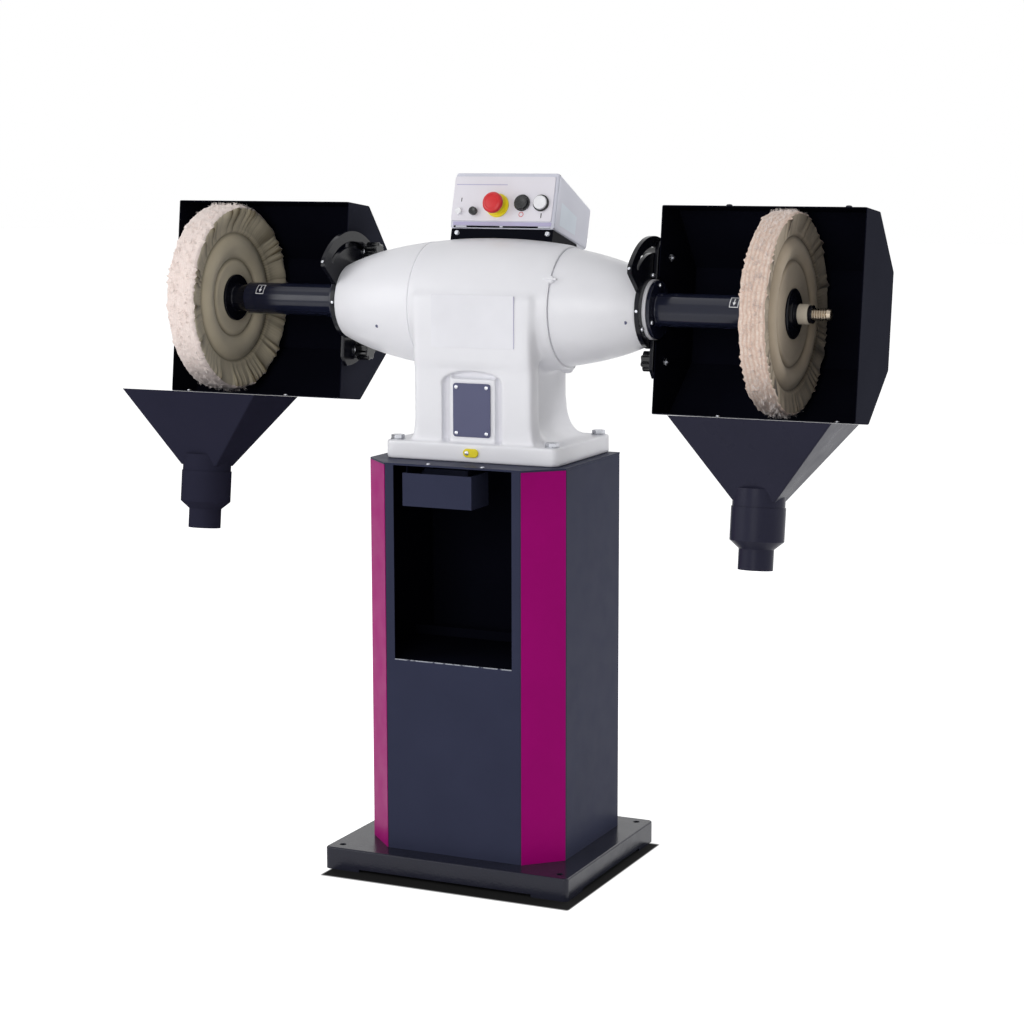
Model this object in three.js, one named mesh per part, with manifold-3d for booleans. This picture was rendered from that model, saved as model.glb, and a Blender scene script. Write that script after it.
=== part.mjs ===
// A pedestal polishing machine with two buffing wheels, each under a tilting dust hood.
// Millimetres, +Z up, +X along the shaft, the front towards -Y. The floor is z = 0 and the
// origin is under the middle of the machine's bounding box.

import * as THREE from 'three';
import { mergeVertices } from 'three/addons/utils/BufferGeometryUtils.js';
import Module from 'manifold-3d';

const wasm = await Module();
wasm.setup();

// Shared clearances
const seatGap = 0.3;
const runGap = 0.4;
const cutOverrun = 5;
const weldTolerance = 0.0001;
const turnSides = 32;
const smallSides = 16;

// Base tray on the floor
const baseWidth = 554;
const baseDepth = 467;
const baseHeight = 47;
const baseSheet = 3;
const baseCorner = 10;
const baseSetback = 8.5;
const anchorInset = 28;
const anchorRadius = 7;
const baseFootLength = 80;
const baseFootLift = 6;

// Column, its coloured corner strips, the top plate and the shelf
const columnWidth = 444;
const columnDepth = 351;
const columnChamfer = 68;
const columnSheet = 2.5;
const columnTop = 859;
const topPlateSheet = 4;
const stripSheet = 1.2;
const openingMargin = 21;
const openingSill = 452;
const shelfSheet = 3;
const shelfDrop = 3;
const shelfDepth = 262;
const shelfLip = 20;

// Hanging tray in the top of the opening, with its rails
const trayWidth = 156;
const trayDepth = 80;
const trayHeight = 68;
const traySheet = 1.5;
const trayRimLip = 8;
const trayMargin = 20;
const trayBelowPlate = 15;
const trayInset = 2;
const railSheet = 2;
const railLip = 6;

// Shaft line, above the column and behind its middle
const shaftRise = 312;
const shaftSetback = 36;
const shaftRadius = 15;
const threadRadius = 12.5;

// Motor casting. The barrel and the bells share one elliptical outline.
const barrelRadius = 138;
const barrelHalfLength = 412;
const castingX = 7;
const seamLeft = 141;
const seamRight = 170;
const barrelWall = 23;
const seamStepLeft = 0.2;
const seamStepRight = 4.5;
const bellWall = 8;
const bellSteps = 6;
const innerSteps = 2;
const barrelSteps = 6;
const footWidth = 390;
const footDepth = 284;
const footThickness = 38;
const footCorner = 10;
const footShift = -2;
const faceProud = 1;
const faceWidth = 268;
const faceTop = 30;
const faceDepth = 46;
const neckInset = 5;
const neckWidth = 224;
const neckBack = 102;
const neckFlareHeight = 84;
const neckFlareWidth = 344;
const faceFlareWidth = 288;
const pocketWidth = 180;
const pocketBack = 90;
const pocketRoof = 150;
const nicheWidth = 136;
const nicheDepth = 18;
const nicheTop = 126;
const nicheArch = 24;
const padWidth = 102;
const padHeight = 128;
const padMargin = 10;
const coverRise = 68;
const coverWidth = 84;
const coverHeight = 110;
const coverSheet = 3;
const coverHoleWidth = 56;
const coverHoleHeight = 80;
const footBoltRadius = 8;
const footBoltHead = 9;
const footBoltLength = 60;
const footBoltInsetX = 20;
const footBoltInsetY = 22;
const washerRadius = 15;
const washerSheet = 2.5;
const earthLength = 34;
const earthHeight = 18;
const earthSheet = 4;
const earthAcross = 11;
const earthDrop = 18;

// Motor inside the casting
const statorBore = 66;
const statorLength = 200;
const windingRadius = 100;
const windingLength = 24;
const rotorAirGap = 1;
const rotorLength = 200;
const bearingRadius = 36;
const bearingWidth = 23;
const bearingShoulder = 20;

// End bells, brackets and spindle tubes, measured outwards from the middle
const bellFace = 340;
const neckRingRadius = 61;
const neckRingLength = 16;
const bracketSheet = 9;
const bracketRing = 79;
const fanBackRadius = 148;
const fanFrontRadius = 147;
const fanCorner = 7;
const fanCornerAngle = 5;
const slotRadius = 120;
const slotHalfWidth = 6;
const slotStartAngle = 57;
const slotEndAngle = 132;
const fanMargin = 14;
const slotSides = 10;
const tubeRadius = 33.7;
const tubeWall = 5;
const tubeShortfall = 9;
const tubeFlangeRadius = 59;
const tubeFlangeSheet = 8;
const tubeBearingWidth = 16;

// Buffing wheels and what clamps them
const wheelRadius = 200;
const wheelThickness = 52;
const wheelHubThickness = 38;
const wheelBandRadius = 144;
const wheelHubRadius = 88;
const wheelRound = 8;
const wheelInnerRight = 599;
const wheelShiftLeft = 24;
const flangeRadius = 50;
const flangeSheet = 6;
const flangeBoss = 28.2;
const dishRadius = 27;
const dishLength = 13;
const sleeveRadius = 20;
const sleeveLength = 29;
const threadLength = 36;

// Dust hoods. The outline is in the hood's own tilted frame.
const hoodTilt = 6.87;
const hoodBeyondWheel = 108;
const hoodHalfHeight = 210;
const hoodDepth = 211;
const hoodShoulder = 93;
const hoodBackHalf = 100;
const hoodSheet = 2;
const hoodNotch = 66;
const swivelRadius = 139;
const swivelSheet = 8;
const swivelGap = 0.7;
const swivelAhead = 8;
const swivelCorner = 18;

// Dust funnels under the front of the hoods, and their pipe reducers
const funnelWidth = 330;
const funnelDepth = 183;
const funnelFall = 156;
const funnelSheet = 2;
const funnelOverhang = 8;
const funnelOutletWidth = 88;
const funnelOutletDepth = 70;
const funnelOutletCentre = 92;
const funnelOverrun = 1;
const pipeRadius = 51.5;
const pipeWall = 2;
const pipeRise = 24;
const pipeDrop = 50;
const pipeLapStart = 12;
const reducerWall = 3;
const reducerCollar = 66;
const reducerTaper = 16;
const reducerSpigot = 41;
const spigotRadius = 34.5;

// Clamp knobs. Their places are in the hood's frame.
const knobRadius = 21.5;
const knobLength = 30;
const knobWasher = 4;
const studRadius = 5;
const studReach = 12;
const lowerKnobAlong = 50;
const lowerKnobDrop = 103;

// Control box on its cradle
const boxPitch = 16;
const boxForward = 12;
const boxLift = 19;
const boxWidth = 240;
const boxDepth = 177;
const boxFrontHeight = 118;
const boxBackHeight = 88;
const boxSheet = 2;
const panelSheet = 2;
const panelMargin = 0.5;
const cradleWidth = 232;
const cradleDepth = 130;
const cradleSkirt = 62;
const cradleSheet = 3;
const contactorWidth = 90;
const contactorDepth = 60;
const contactorHeight = 50;
const contactorSetback = 8;

// Controls on the panel. Their places are shares of its width and its height.
const controlStem = 12;
const stopShares = [-0.054, 0.407];
const offShares = [0.175, 0.458];
const onShares = [0.354, 0.458];
const resetShares = [-0.275, 0.297];
const lampShares = [-0.421, 0.297];
const collarRadius = 25;
const collarSheet = 3;
const collarBossRadius = 16;
const collarBoss = 12;
const mushroomRadius = 22;
const mushroomThickness = 14;
const mushroomStand = 20;
const mushroomStem = 8;
const pushRadius = 14.2;
const pushThickness = 6;
const pushStand = 4.5;
const pushStem = 9;
const resetRadius = 8.5;
const resetThickness = 8;
const resetStand = 3;
const resetStem = 4;
const lampRadius = 7.5;
const lampThickness = 6;

// Places worked out from the sizes
const degree = Math.PI / 180;
const tilt = hoodTilt * degree;
const pitch = boxPitch * degree;
const columnHalfWidth = columnWidth / 2;
const columnHalfDepth = columnDepth / 2;
const openingWidth = columnWidth - 2 * (columnChamfer + openingMargin);
const trayCentreX = (trayWidth - openingWidth) / 2 + trayMargin;
const plateBottom = columnTop - topPlateSheet;
const shaftHeight = columnTop + shaftRise;
const footTop = footThickness - shaftRise;
const footBottom = -shaftRise;
const barrelBore = barrelRadius - barrelWall;
const faceReach = barrelRadius + faceProud;
const neckFront = barrelRadius - neckInset;
const neckFlareStart = -footTop - neckFlareHeight;
const coverMiddle = footTop + coverRise;
const boxRise = barrelRadius + boxLift;
const pipeTop = -hoodHalfHeight - seatGap - funnelFall + pipeRise;
const pipeBottom = -hoodHalfHeight - seatGap - funnelFall - pipeDrop + pipeRise;
const neckRingEnd = bellFace + neckRingLength;
const bracketInner = bellFace;
const bracketOuter = bellFace + bracketSheet;
const swivelInner = bracketOuter + swivelGap;
const swivelOuter = swivelInner + swivelSheet;
const hoodInner = swivelOuter + seatGap;
const wheelInnerLeft = wheelInnerRight + wheelShiftLeft;
const hoodOuter = wheelInnerLeft + wheelThickness + hoodBeyondWheel;
const funnelCentre = hoodOuter + funnelOverhang - funnelWidth / 2;
const tubeFlangeFace = neckRingEnd;
const tubeFlangeBack = neckRingEnd + tubeFlangeSheet;
const tubeEnd = wheelInnerRight - tubeShortfall;
const rotorRadius = statorBore - rotorAirGap;
const onPanel = ([across, up]) => [across * boxWidth, up * boxFrontHeight];
const [stopAcross, stopUp] = onPanel(stopShares);
const [offAcross, offUp] = onPanel(offShares);
const [onAcross, onUp] = onPanel(onShares);
const [resetAcross, resetUp] = onPanel(resetShares);
const [lampAcross, lampUp] = onPanel(lampShares);
const machineFront = baseSetback - baseDepth / 2;
const machineBack = shaftSetback + hoodDepth * Math.cos(tilt) + hoodBackHalf * Math.sin(tilt);
const originShift = -(machineFront + machineBack) / 2;

// Turns a closed geometry into a solid, with its faces pointing out
function solidOf(geometry) {
  const bare = geometry.index ? geometry.toNonIndexed() : geometry.clone();
  for (const name of Object.keys(bare.attributes)) {
    if (name !== 'position') bare.deleteAttribute(name);
  }
  const welded = mergeVertices(bare, weldTolerance);
  const points = welded.attributes.position.array;
  const corners = welded.index.array;
  const kept = [];
  let volume = 0;
  for (let i = 0; i < corners.length; i += 3) {
    const [a, b, c] = [corners[i], corners[i + 1], corners[i + 2]];
    if (a === b || b === c || c === a) continue;
    kept.push(a, b, c);
    const va = new THREE.Vector3().fromArray(points, 3 * a);
    const vb = new THREE.Vector3().fromArray(points, 3 * b);
    const vc = new THREE.Vector3().fromArray(points, 3 * c);
    volume += va.dot(vb.cross(vc));
  }
  if (volume < 0) {
    for (let i = 0; i < kept.length; i += 3) {
      [kept[i + 1], kept[i + 2]] = [kept[i + 2], kept[i + 1]];
    }
  }
  return new wasm.Manifold(new wasm.Mesh({
    numProp: 3,
    vertProperties: Float32Array.from(points),
    triVerts: Uint32Array.from(kept),
  }));
}

// Turns a solid back into a flat-shaded geometry
function geometryOf(solid) {
  const { vertProperties, triVerts } = solid.getMesh();
  const geometry = new THREE.BufferGeometry();
  geometry.setAttribute('position', new THREE.BufferAttribute(vertProperties, 3));
  geometry.setIndex(new THREE.BufferAttribute(triVerts, 1));
  const flat = geometry.toNonIndexed();
  flat.computeVertexNormals();
  return flat;
}

// A block between two corners
function block(low, high) {
  const size = high.map((value, i) => value - low[i]);
  const middle = high.map((value, i) => (value + low[i]) / 2);
  return solidOf(new THREE.BoxGeometry(...size).translate(...middle));
}

// A rod along X
function rodX(radius, from, to, y = 0, z = 0, sides = turnSides) {
  const rod = new THREE.CylinderGeometry(radius, radius, to - from, sides);
  return solidOf(rod.rotateZ(-Math.PI / 2).translate((from + to) / 2, y, z));
}

// A rod along Y
function rodY(radius, from, to, x, z, sides = smallSides) {
  const rod = new THREE.CylinderGeometry(radius, radius, to - from, sides);
  return solidOf(rod.translate(x, (from + to) / 2, z));
}

// A rod along Z
function rodZ(radius, from, to, x, y, sides = smallSides) {
  const rod = new THREE.CylinderGeometry(radius, radius, to - from, sides);
  return solidOf(rod.rotateX(Math.PI / 2).translate(x, y, (from + to) / 2));
}

// A closed [radius, along] outline turned about X
function turnedX(outline, sides = turnSides) {
  const points = [...outline, outline[0]].map(([radius, along]) => new THREE.Vector2(radius, along));
  return solidOf(new THREE.LatheGeometry(points, sides).rotateZ(-Math.PI / 2));
}

// A closed [radius, along] outline turned about Z
function turnedZ(outline, x, y, sides = turnSides) {
  const points = [...outline, outline[0]].map(([radius, along]) => new THREE.Vector2(radius, along));
  return solidOf(new THREE.LatheGeometry(points, sides).rotateX(Math.PI / 2).translate(x, y, 0));
}

// A shape through a list of points
function shapeOf(points) {
  return new THREE.Shape(points.map(([x, y]) => new THREE.Vector2(x, y)));
}

// A rectangle with round corners, about the origin
function roundRectangle(width, height, radius) {
  const [x, y, r] = [width / 2, height / 2, radius];
  const shape = new THREE.Shape();
  shape.moveTo(r - x, -y);
  shape.lineTo(x - r, -y);
  shape.quadraticCurveTo(x, -y, x, r - y);
  shape.lineTo(x, y - r);
  shape.quadraticCurveTo(x, y, x - r, y);
  shape.lineTo(r - x, y);
  shape.quadraticCurveTo(-x, y, -x, y - r);
  shape.lineTo(-x, r - y);
  shape.quadraticCurveTo(-x, -y, r - x, -y);
  return shape;
}

// A straight extrusion of a shape by a length, before it is placed
function extruded(shape, length, curveSegments = 5) {
  return new THREE.ExtrudeGeometry(shape, { depth: length, bevelEnabled: false, curveSegments });
}

// An extrusion along Z of a shape in X and Y
function prismZ(shape, from, to, x = 0, y = 0) {
  return solidOf(extruded(shape, to - from).translate(x, y, from));
}

// An extrusion along Y of a shape in X and Z
function prismY(shape, from, to) {
  return solidOf(extruded(shape, to - from).rotateX(Math.PI / 2).translate(0, to, 0));
}

// An extrusion along X of a shape in Y and Z
function prismX(shape, from, to) {
  const turn = new THREE.Matrix4().makeBasis(
    new THREE.Vector3(0, 1, 0),
    new THREE.Vector3(0, 0, 1),
    new THREE.Vector3(1, 0, 0),
  );
  return solidOf(extruded(shape, to - from).applyMatrix4(turn).translate(from, 0, 0));
}

// A tapering block between an upper and a lower rectangle, each [x0, x1, y0, y1, z]
function hopper(upper, lower) {
  const geometry = new THREE.BoxGeometry(1, 1, 1);
  const places = geometry.attributes.position;
  for (let i = 0; i < places.count; i += 1) {
    const rectangle = places.getZ(i) > 0 ? upper : lower;
    const x = places.getX(i) > 0 ? rectangle[1] : rectangle[0];
    const y = places.getY(i) > 0 ? rectangle[3] : rectangle[2];
    places.setXYZ(i, x, y, rectangle[4]);
  }
  return solidOf(geometry);
}

// The same solid on the right, or mirrored for the left
function toSide(solid, side) {
  return side > 0 ? solid : solidOf(geometryOf(solid).scale(side, 1, 1));
}

// Finishes, as the colours that the machine is painted
const finishes = {
  anthracite: { color: 0x343a48, roughness: 0.45, metalness: 0.1 },
  magenta: { color: 0x8c0061, roughness: 0.4, metalness: 0 },
  cream: { color: 0xebecf0, roughness: 0.5, metalness: 0 },
  boxGrey: { color: 0xe1e1e8, roughness: 0.45, metalness: 0 },
  black: { color: 0x14151a, roughness: 0.35, metalness: 0.1 },
  steel: { color: 0xb9bcc2, roughness: 0.35, metalness: 0.9 },
  copper: { color: 0x9a5a34, roughness: 0.45, metalness: 0.8 },
  cotton: { color: 0xd8cbbd, roughness: 0.95, metalness: 0 },
  red: { color: 0xd81e28, roughness: 0.4, metalness: 0 },
  yellow: { color: 0xe8dc10, roughness: 0.45, metalness: 0 },
  white: { color: 0xf2f2f4, roughness: 0.35, metalness: 0 },
};

const materials = {};
for (const [name, finish] of Object.entries(finishes)) {
  materials[name] = new THREE.MeshStandardMaterial(finish);
}

// Adds one named piece to a group
function add(parent, name, solid, finish) {
  const mesh = new THREE.Mesh(geometryOf(solid), materials[finish].clone());
  mesh.name = name;
  parent.add(mesh);
}

const group = new THREE.Group();
const stand = new THREE.Group();
const head = new THREE.Group();
group.add(stand, head);
stand.position.set(0, originShift, 0);
head.position.set(0, shaftSetback + originShift, shaftHeight);

// Base: a folded tray with four anchor holes and raised edges between its feet
function baseTray() {
  const outer = roundRectangle(baseWidth, baseDepth, baseCorner);
  const inner = roundRectangle(baseWidth - 2 * baseSheet, baseDepth - 2 * baseSheet, baseCorner - baseSheet);
  let tray = prismZ(outer, 0, baseHeight, 0, baseSetback);
  tray = tray.subtract(prismZ(inner, -cutOverrun, baseHeight - baseSheet, 0, baseSetback));
  for (const sideX of [-1, 1]) {
    for (const sideY of [-1, 1]) {
      const x = sideX * (baseWidth / 2 - anchorInset);
      const y = baseSetback + sideY * (baseDepth / 2 - anchorInset);
      tray = tray.subtract(rodZ(anchorRadius, 0, baseHeight + cutOverrun, x, y));
    }
  }
  const spanX = baseWidth / 2 - baseFootLength;
  const spanY = baseDepth / 2 - baseFootLength;
  const pastX = baseWidth / 2 + cutOverrun;
  const pastY = baseDepth / 2 + cutOverrun;
  const lengthwise = block(
    [-spanX, baseSetback - pastY, -cutOverrun],
    [spanX, baseSetback + pastY, baseFootLift],
  );
  const crosswise = block(
    [-pastX, baseSetback - spanY, -cutOverrun],
    [pastX, baseSetback + spanY, baseFootLift],
  );
  return tray.subtract(lengthwise).subtract(crosswise);
}

// The column's plan, drawn in by an inset, with its front corners cut off
function columnPlan(inset, chamfer) {
  const x = columnHalfWidth - inset;
  const y = columnHalfDepth - inset;
  return shapeOf([
    [-x, y],
    [-x, chamfer - y],
    [chamfer - x, -y],
    [x - chamfer, -y],
    [x, chamfer - y],
    [x, y],
  ]);
}

const stripRecess = (stripSheet + seatGap) * Math.SQRT2;
const insetChamfer = (inset) => columnChamfer + stripRecess - inset * (2 - Math.SQRT2);

// Column: a folded shell, open at the front above the sill and below the top plate
function columnShell() {
  const inner = columnPlan(columnSheet, insetChamfer(columnSheet));
  const walls = prismZ(columnPlan(0, insetChamfer(0)), baseHeight, plateBottom)
    .subtract(prismZ(inner, baseHeight - cutOverrun, plateBottom + cutOverrun));
  const opening = block(
    [-openingWidth / 2, -columnHalfDepth - cutOverrun, openingSill],
    [openingWidth / 2, -columnHalfDepth + columnSheet + cutOverrun, plateBottom + cutOverrun],
  );
  return walls.subtract(opening);
}

// A coloured strip on a cut-off front corner
function trimStrip(side) {
  const step = stripSheet / Math.SQRT2;
  const [x, y] = [columnHalfWidth, -columnHalfDepth];
  const outline = shapeOf([
    [x, y + columnChamfer],
    [x - step, y + columnChamfer + step],
    [x - columnChamfer - step, y + step],
    [x - columnChamfer, y],
  ]);
  return toSide(prismZ(outline, baseHeight, plateBottom), side);
}

// Shelf: a plate across the column, with its rear edge turned up
function shelfPlate() {
  const gap = columnSheet + seatGap;
  const plan = columnPlan(gap, insetChamfer(gap));
  const top = openingSill - shelfDrop;
  const front = -columnHalfDepth + columnSheet + seatGap;
  const keep = block(
    [-columnHalfWidth, front - cutOverrun, top - shelfSheet - cutOverrun],
    [columnHalfWidth, front + shelfDepth, top + cutOverrun],
  );
  const lip = block(
    [-columnHalfWidth + gap, front + shelfDepth - shelfSheet, top - shelfSheet],
    [columnHalfWidth - gap, front + shelfDepth, top + shelfLip],
  );
  return prismZ(plan, top - shelfSheet, top).intersect(keep).add(lip);
}

// The tray's box in the stand: its left, right, front, back, floor and rim
const trayLeft = trayCentreX - trayWidth / 2;
const trayRight = trayCentreX + trayWidth / 2;
const trayFront = -columnHalfDepth + trayInset;
const trayBack = trayFront + trayDepth;
const trayRim = plateBottom - trayBelowPlate;
const trayFloor = trayRim - trayHeight;
const railLipTop = trayRim - traySheet - seatGap;
const railWeb = trayWidth / 2 - trayRimLip - runGap;

// Tray: an open box whose side rims turn inwards over the rails
function tray() {
  const outer = block([trayLeft, trayFront, trayFloor], [trayRight, trayBack, trayRim]);
  const inner = block(
    [trayLeft + traySheet, trayFront + traySheet, trayFloor + traySheet],
    [trayRight - traySheet, trayBack - traySheet, trayRim - traySheet],
  );
  const mouth = block(
    [trayLeft + trayRimLip, trayFront + traySheet, trayRim - traySheet - cutOverrun],
    [trayRight - trayRimLip, trayBack - traySheet, trayRim + cutOverrun],
  );
  let body = outer.subtract(inner).subtract(mouth);
  for (const side of [-1, 1]) {
    body = body.subtract(trayPassage(side, railWeb + railLip + runGap, trayRim - traySheet));
    body = body.subtract(trayPassage(side, railWeb + runGap, trayRim + cutOverrun));
  }
  return body;
}

// The way through the tray's back wall for one rail, out to a reach from the tray's middle
function trayPassage(side, reach, top) {
  const near = side * (railWeb - railSheet - runGap);
  const far = side * reach;
  return block(
    [trayCentreX + Math.min(near, far), trayBack - traySheet - seatGap, railLipTop - railSheet - runGap],
    [trayCentreX + Math.max(near, far), trayBack + cutOverrun, top],
  );
}

// A rail that hangs from the top plate and carries one side rim of the tray
function trayRail(side) {
  const outline = shapeOf([
    [railWeb, plateBottom],
    [railWeb - railSheet, plateBottom],
    [railWeb - railSheet, railLipTop - railSheet],
    [railWeb + railLip, railLipTop - railSheet],
    [railWeb + railLip, railLipTop],
    [railWeb, railLipTop],
  ]);
  const front = trayFront + traySheet + runGap;
  const back = trayBack - traySheet - runGap;
  const rail = prismY(outline, front, back);
  return solidOf(geometryOf(toSide(rail, side)).translate(trayCentreX, 0, 0));
}

add(stand, 'base_tray', baseTray(), 'anthracite');
add(stand, 'column_shell', columnShell(), 'anthracite');
add(stand, 'trim_strip_left', trimStrip(-1), 'magenta');
add(stand, 'trim_strip_right', trimStrip(1), 'magenta');
add(stand, 'top_plate', prismZ(columnPlan(0, columnChamfer), plateBottom, columnTop), 'anthracite');
add(stand, 'shelf_plate', shelfPlate(), 'anthracite');
add(stand, 'tray_rail_left', trayRail(-1), 'anthracite');
add(stand, 'tray_rail_right', trayRail(1), 'anthracite');
add(stand, 'tray', tray(), 'anthracite');

// The radius of the casting's outline at a distance along the shaft
function castingRadius(along) {
  return barrelRadius * Math.sqrt(1 - (along / barrelHalfLength) ** 2);
}

// Points of the casting's outline between two places along the shaft, drawn in by an inset
function castingCurve(from, to, steps, inset = 0) {
  const points = [];
  for (let i = 0; i <= steps; i += 1) {
    const along = from + ((to - from) * i) / steps;
    points.push([castingRadius(along) - inset, along]);
  }
  return points;
}

// The whole outline of the casting as a solid, grown by a gap, for cutting what sits on it
function castingEnvelope(gap) {
  const curve = castingCurve(-seamLeft - cutOverrun, seamRight + cutOverrun, barrelSteps, -gap);
  return turnedX([[0, curve[0][1]], ...curve, [0, curve[curve.length - 1][1]]]);
}

// A front view of the pedestal: straight sides that flare out to the foot
function pedestalShape(width, flare, top) {
  const shape = new THREE.Shape();
  shape.moveTo(-width / 2, top);
  shape.lineTo(-width / 2, -neckFlareStart);
  shape.quadraticCurveTo(-width / 2, footTop, -flare / 2, footTop);
  shape.lineTo(flare / 2, footTop);
  shape.quadraticCurveTo(width / 2, footTop, width / 2, -neckFlareStart);
  shape.lineTo(width / 2, top);
  return shape;
}

// A solid moved from the casting's middle to its place along the shaft
function onCasting(solid) {
  return solidOf(geometryOf(solid).translate(castingX, 0, 0));
}

const footLeft = castingX - footWidth / 2;
const footRight = castingX + footWidth / 2;
const footFront = footShift - footDepth / 2;
const footBack = footShift + footDepth / 2;
const footHoles = [];
for (const [xName, x] of [['left', footLeft + footBoltInsetX], ['right', footRight - footBoltInsetX]]) {
  for (const [yName, y] of [['front', footFront + footBoltInsetY], ['back', footBack - footBoltInsetY]]) {
    footHoles.push({ name: `foot_bolt_${yName}_${xName}`, x, y });
  }
}

// Motor housing: barrel, name face, pedestal with an arched niche, and foot, in one casting
function motorHousing() {
  const barrel = turnedX([
    [0, -seamLeft],
    ...castingCurve(-seamLeft, seamRight, barrelSteps),
    [0, seamRight],
  ]);
  const footPlan = roundRectangle(footWidth, footDepth, footCorner);
  const foot = prismZ(footPlan, footBottom, footTop, castingX, footShift);
  const faceShape = pedestalShape(faceWidth, faceFlareWidth, faceTop);
  const face = onCasting(prismY(faceShape, -neckFront, faceDepth - neckFront));
  const pad = block(
    [castingX - faceWidth / 2, -faceReach, -nicheTop + padMargin],
    [castingX + faceWidth / 2, -neckFront, faceTop],
  );
  const neckShape = pedestalShape(neckWidth, neckFlareWidth, 0);
  const neck = onCasting(prismY(neckShape, faceDepth - neckFront - cutOverrun, neckBack));
  let body = barrel.add(foot).add(face).add(pad).add(neck);
  body = body.subtract(rodX(barrelBore, -seamLeft - cutOverrun, seamRight + cutOverrun));
  const arch = new THREE.Shape();
  arch.moveTo(-nicheWidth / 2, footTop);
  arch.lineTo(-nicheWidth / 2, -nicheTop - nicheArch);
  arch.quadraticCurveTo(-nicheWidth / 2, -nicheTop, 0, -nicheTop);
  arch.quadraticCurveTo(nicheWidth / 2, -nicheTop, nicheWidth / 2, -nicheTop - nicheArch);
  arch.lineTo(nicheWidth / 2, footTop);
  body = body.subtract(onCasting(prismY(arch, -faceReach - cutOverrun, nicheDepth - neckFront)));
  const coverPad = block(
    [castingX - padWidth / 2, coverSheet - neckFront, footTop - cutOverrun],
    [castingX + padWidth / 2, nicheDepth - neckFront + cutOverrun, coverMiddle + padHeight / 2],
  );
  body = body.add(coverPad);
  const pocket = block(
    [castingX - pocketWidth / 2, faceDepth - neckFront, footBottom - cutOverrun],
    [castingX + pocketWidth / 2, pocketBack, -pocketRoof],
  );
  const hole = block(
    [castingX - coverHoleWidth / 2, -faceReach, coverMiddle - coverHoleHeight / 2],
    [castingX + coverHoleWidth / 2, faceDepth, coverMiddle + coverHoleHeight / 2],
  );
  body = body.subtract(pocket).subtract(hole);
  for (const { x, y } of footHoles) {
    body = body.subtract(rodZ(footBoltRadius + seatGap, footBottom - cutOverrun, footTop + cutOverrun, x, y));
  }
  return body;
}

// Cover plate over the hole in the niche
function coverPlate() {
  const back = coverSheet - neckFront - seatGap;
  return block(
    [castingX - coverWidth / 2, back - coverSheet, coverMiddle - coverHeight / 2],
    [castingX + coverWidth / 2, back, coverMiddle + coverHeight / 2],
  );
}

// A hex bolt with a washer, through the foot and the top plate
function footBolt(x, y) {
  const washer = rodZ(washerRadius, footTop + seatGap, footTop + seatGap + washerSheet, x, y);
  const hex = rodZ(washerRadius, footTop + washerSheet, footTop + washerSheet + footBoltHead, x, y, 6);
  const shank = rodZ(footBoltRadius, footTop + footBoltHead - footBoltLength, footTop + washerSheet, x, y);
  return washer.add(hex).add(shank);
}

// Top plate holes for the foot bolts, in the stand's frame
const plate = stand.getObjectByName('top_plate');
let drilled = solidOf(plate.geometry);
for (const { x, y } of footHoles) {
  const radius = footBoltRadius + seatGap;
  const hole = rodZ(radius, plateBottom - cutOverrun, columnTop + cutOverrun, x, y + shaftSetback);
  drilled = drilled.subtract(hole);
}
plate.geometry = geometryOf(drilled);

// Earth terminal: an oval pad on the front of the foot
function earthTerminal() {
  const outline = roundRectangle(earthLength, earthHeight, earthHeight / 2);
  const oval = extruded(outline, earthSheet).rotateX(Math.PI / 2);
  return solidOf(oval.translate(earthAcross, footFront, footTop - earthDrop));
}

add(head, 'motor_housing', motorHousing(), 'cream');
add(head, 'cover_plate', coverPlate(), 'black');
add(head, 'earth_terminal', earthTerminal(), 'yellow');
for (const { name, x, y } of footHoles) {
  add(head, name, footBolt(x, y), 'steel');
}

// End bell: a hollow bullet from the seam to the neck ring, with a seat for its bearing
function endBell(seam, step, side) {
  const seat = bellFace - bearingShoulder - bearingWidth;
  const inner = castingCurve(seam + seatGap, seat, innerSteps, step + bellWall).reverse();
  return toSide(turnedX([
    ...castingCurve(seam + seatGap, bellFace, bellSteps, step),
    [neckRingRadius, bellFace],
    [neckRingRadius, neckRingEnd],
    [shaftRadius + bellWall / 2, neckRingEnd],
    [shaftRadius + bellWall / 2, bellFace - bearingShoulder],
    [bearingRadius, bellFace - bearingShoulder],
    [bearingRadius, seat],
    ...inner,
  ]), side);
}

// A ring about the shaft between two places along it
function ring(outer, inner, from, to, sides = turnSides) {
  return turnedX([[outer, from], [outer, to], [inner, to], [inner, from]], sides);
}

// Stator: the laminated pack with its two winding heads
function stator() {
  const half = statorLength / 2;
  const middle = (seamRight - seamLeft) / 2;
  const over = half + windingLength;
  return turnedX([
    [barrelBore - seatGap, middle - half],
    [barrelBore - seatGap, middle + half],
    [windingRadius, middle + half],
    [windingRadius, middle + over],
    [statorBore + seatGap, middle + over],
    [statorBore + seatGap, middle - over],
    [windingRadius, middle - over],
    [windingRadius, middle - half],
  ]);
}

const rotorMiddle = (seamRight - seamLeft) / 2;
const rotorHalf = rotorLength / 2;

add(head, 'end_bell_left', endBell(seamLeft, seamStepLeft, -1), 'cream');
add(head, 'end_bell_right', endBell(seamRight, seamStepRight, 1), 'cream');
add(head, 'stator', stator(), 'copper');
add(
  head,
  'rotor_core',
  ring(rotorRadius, shaftRadius + seatGap, rotorMiddle - rotorHalf, rotorMiddle + rotorHalf),
  'steel',
);

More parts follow.
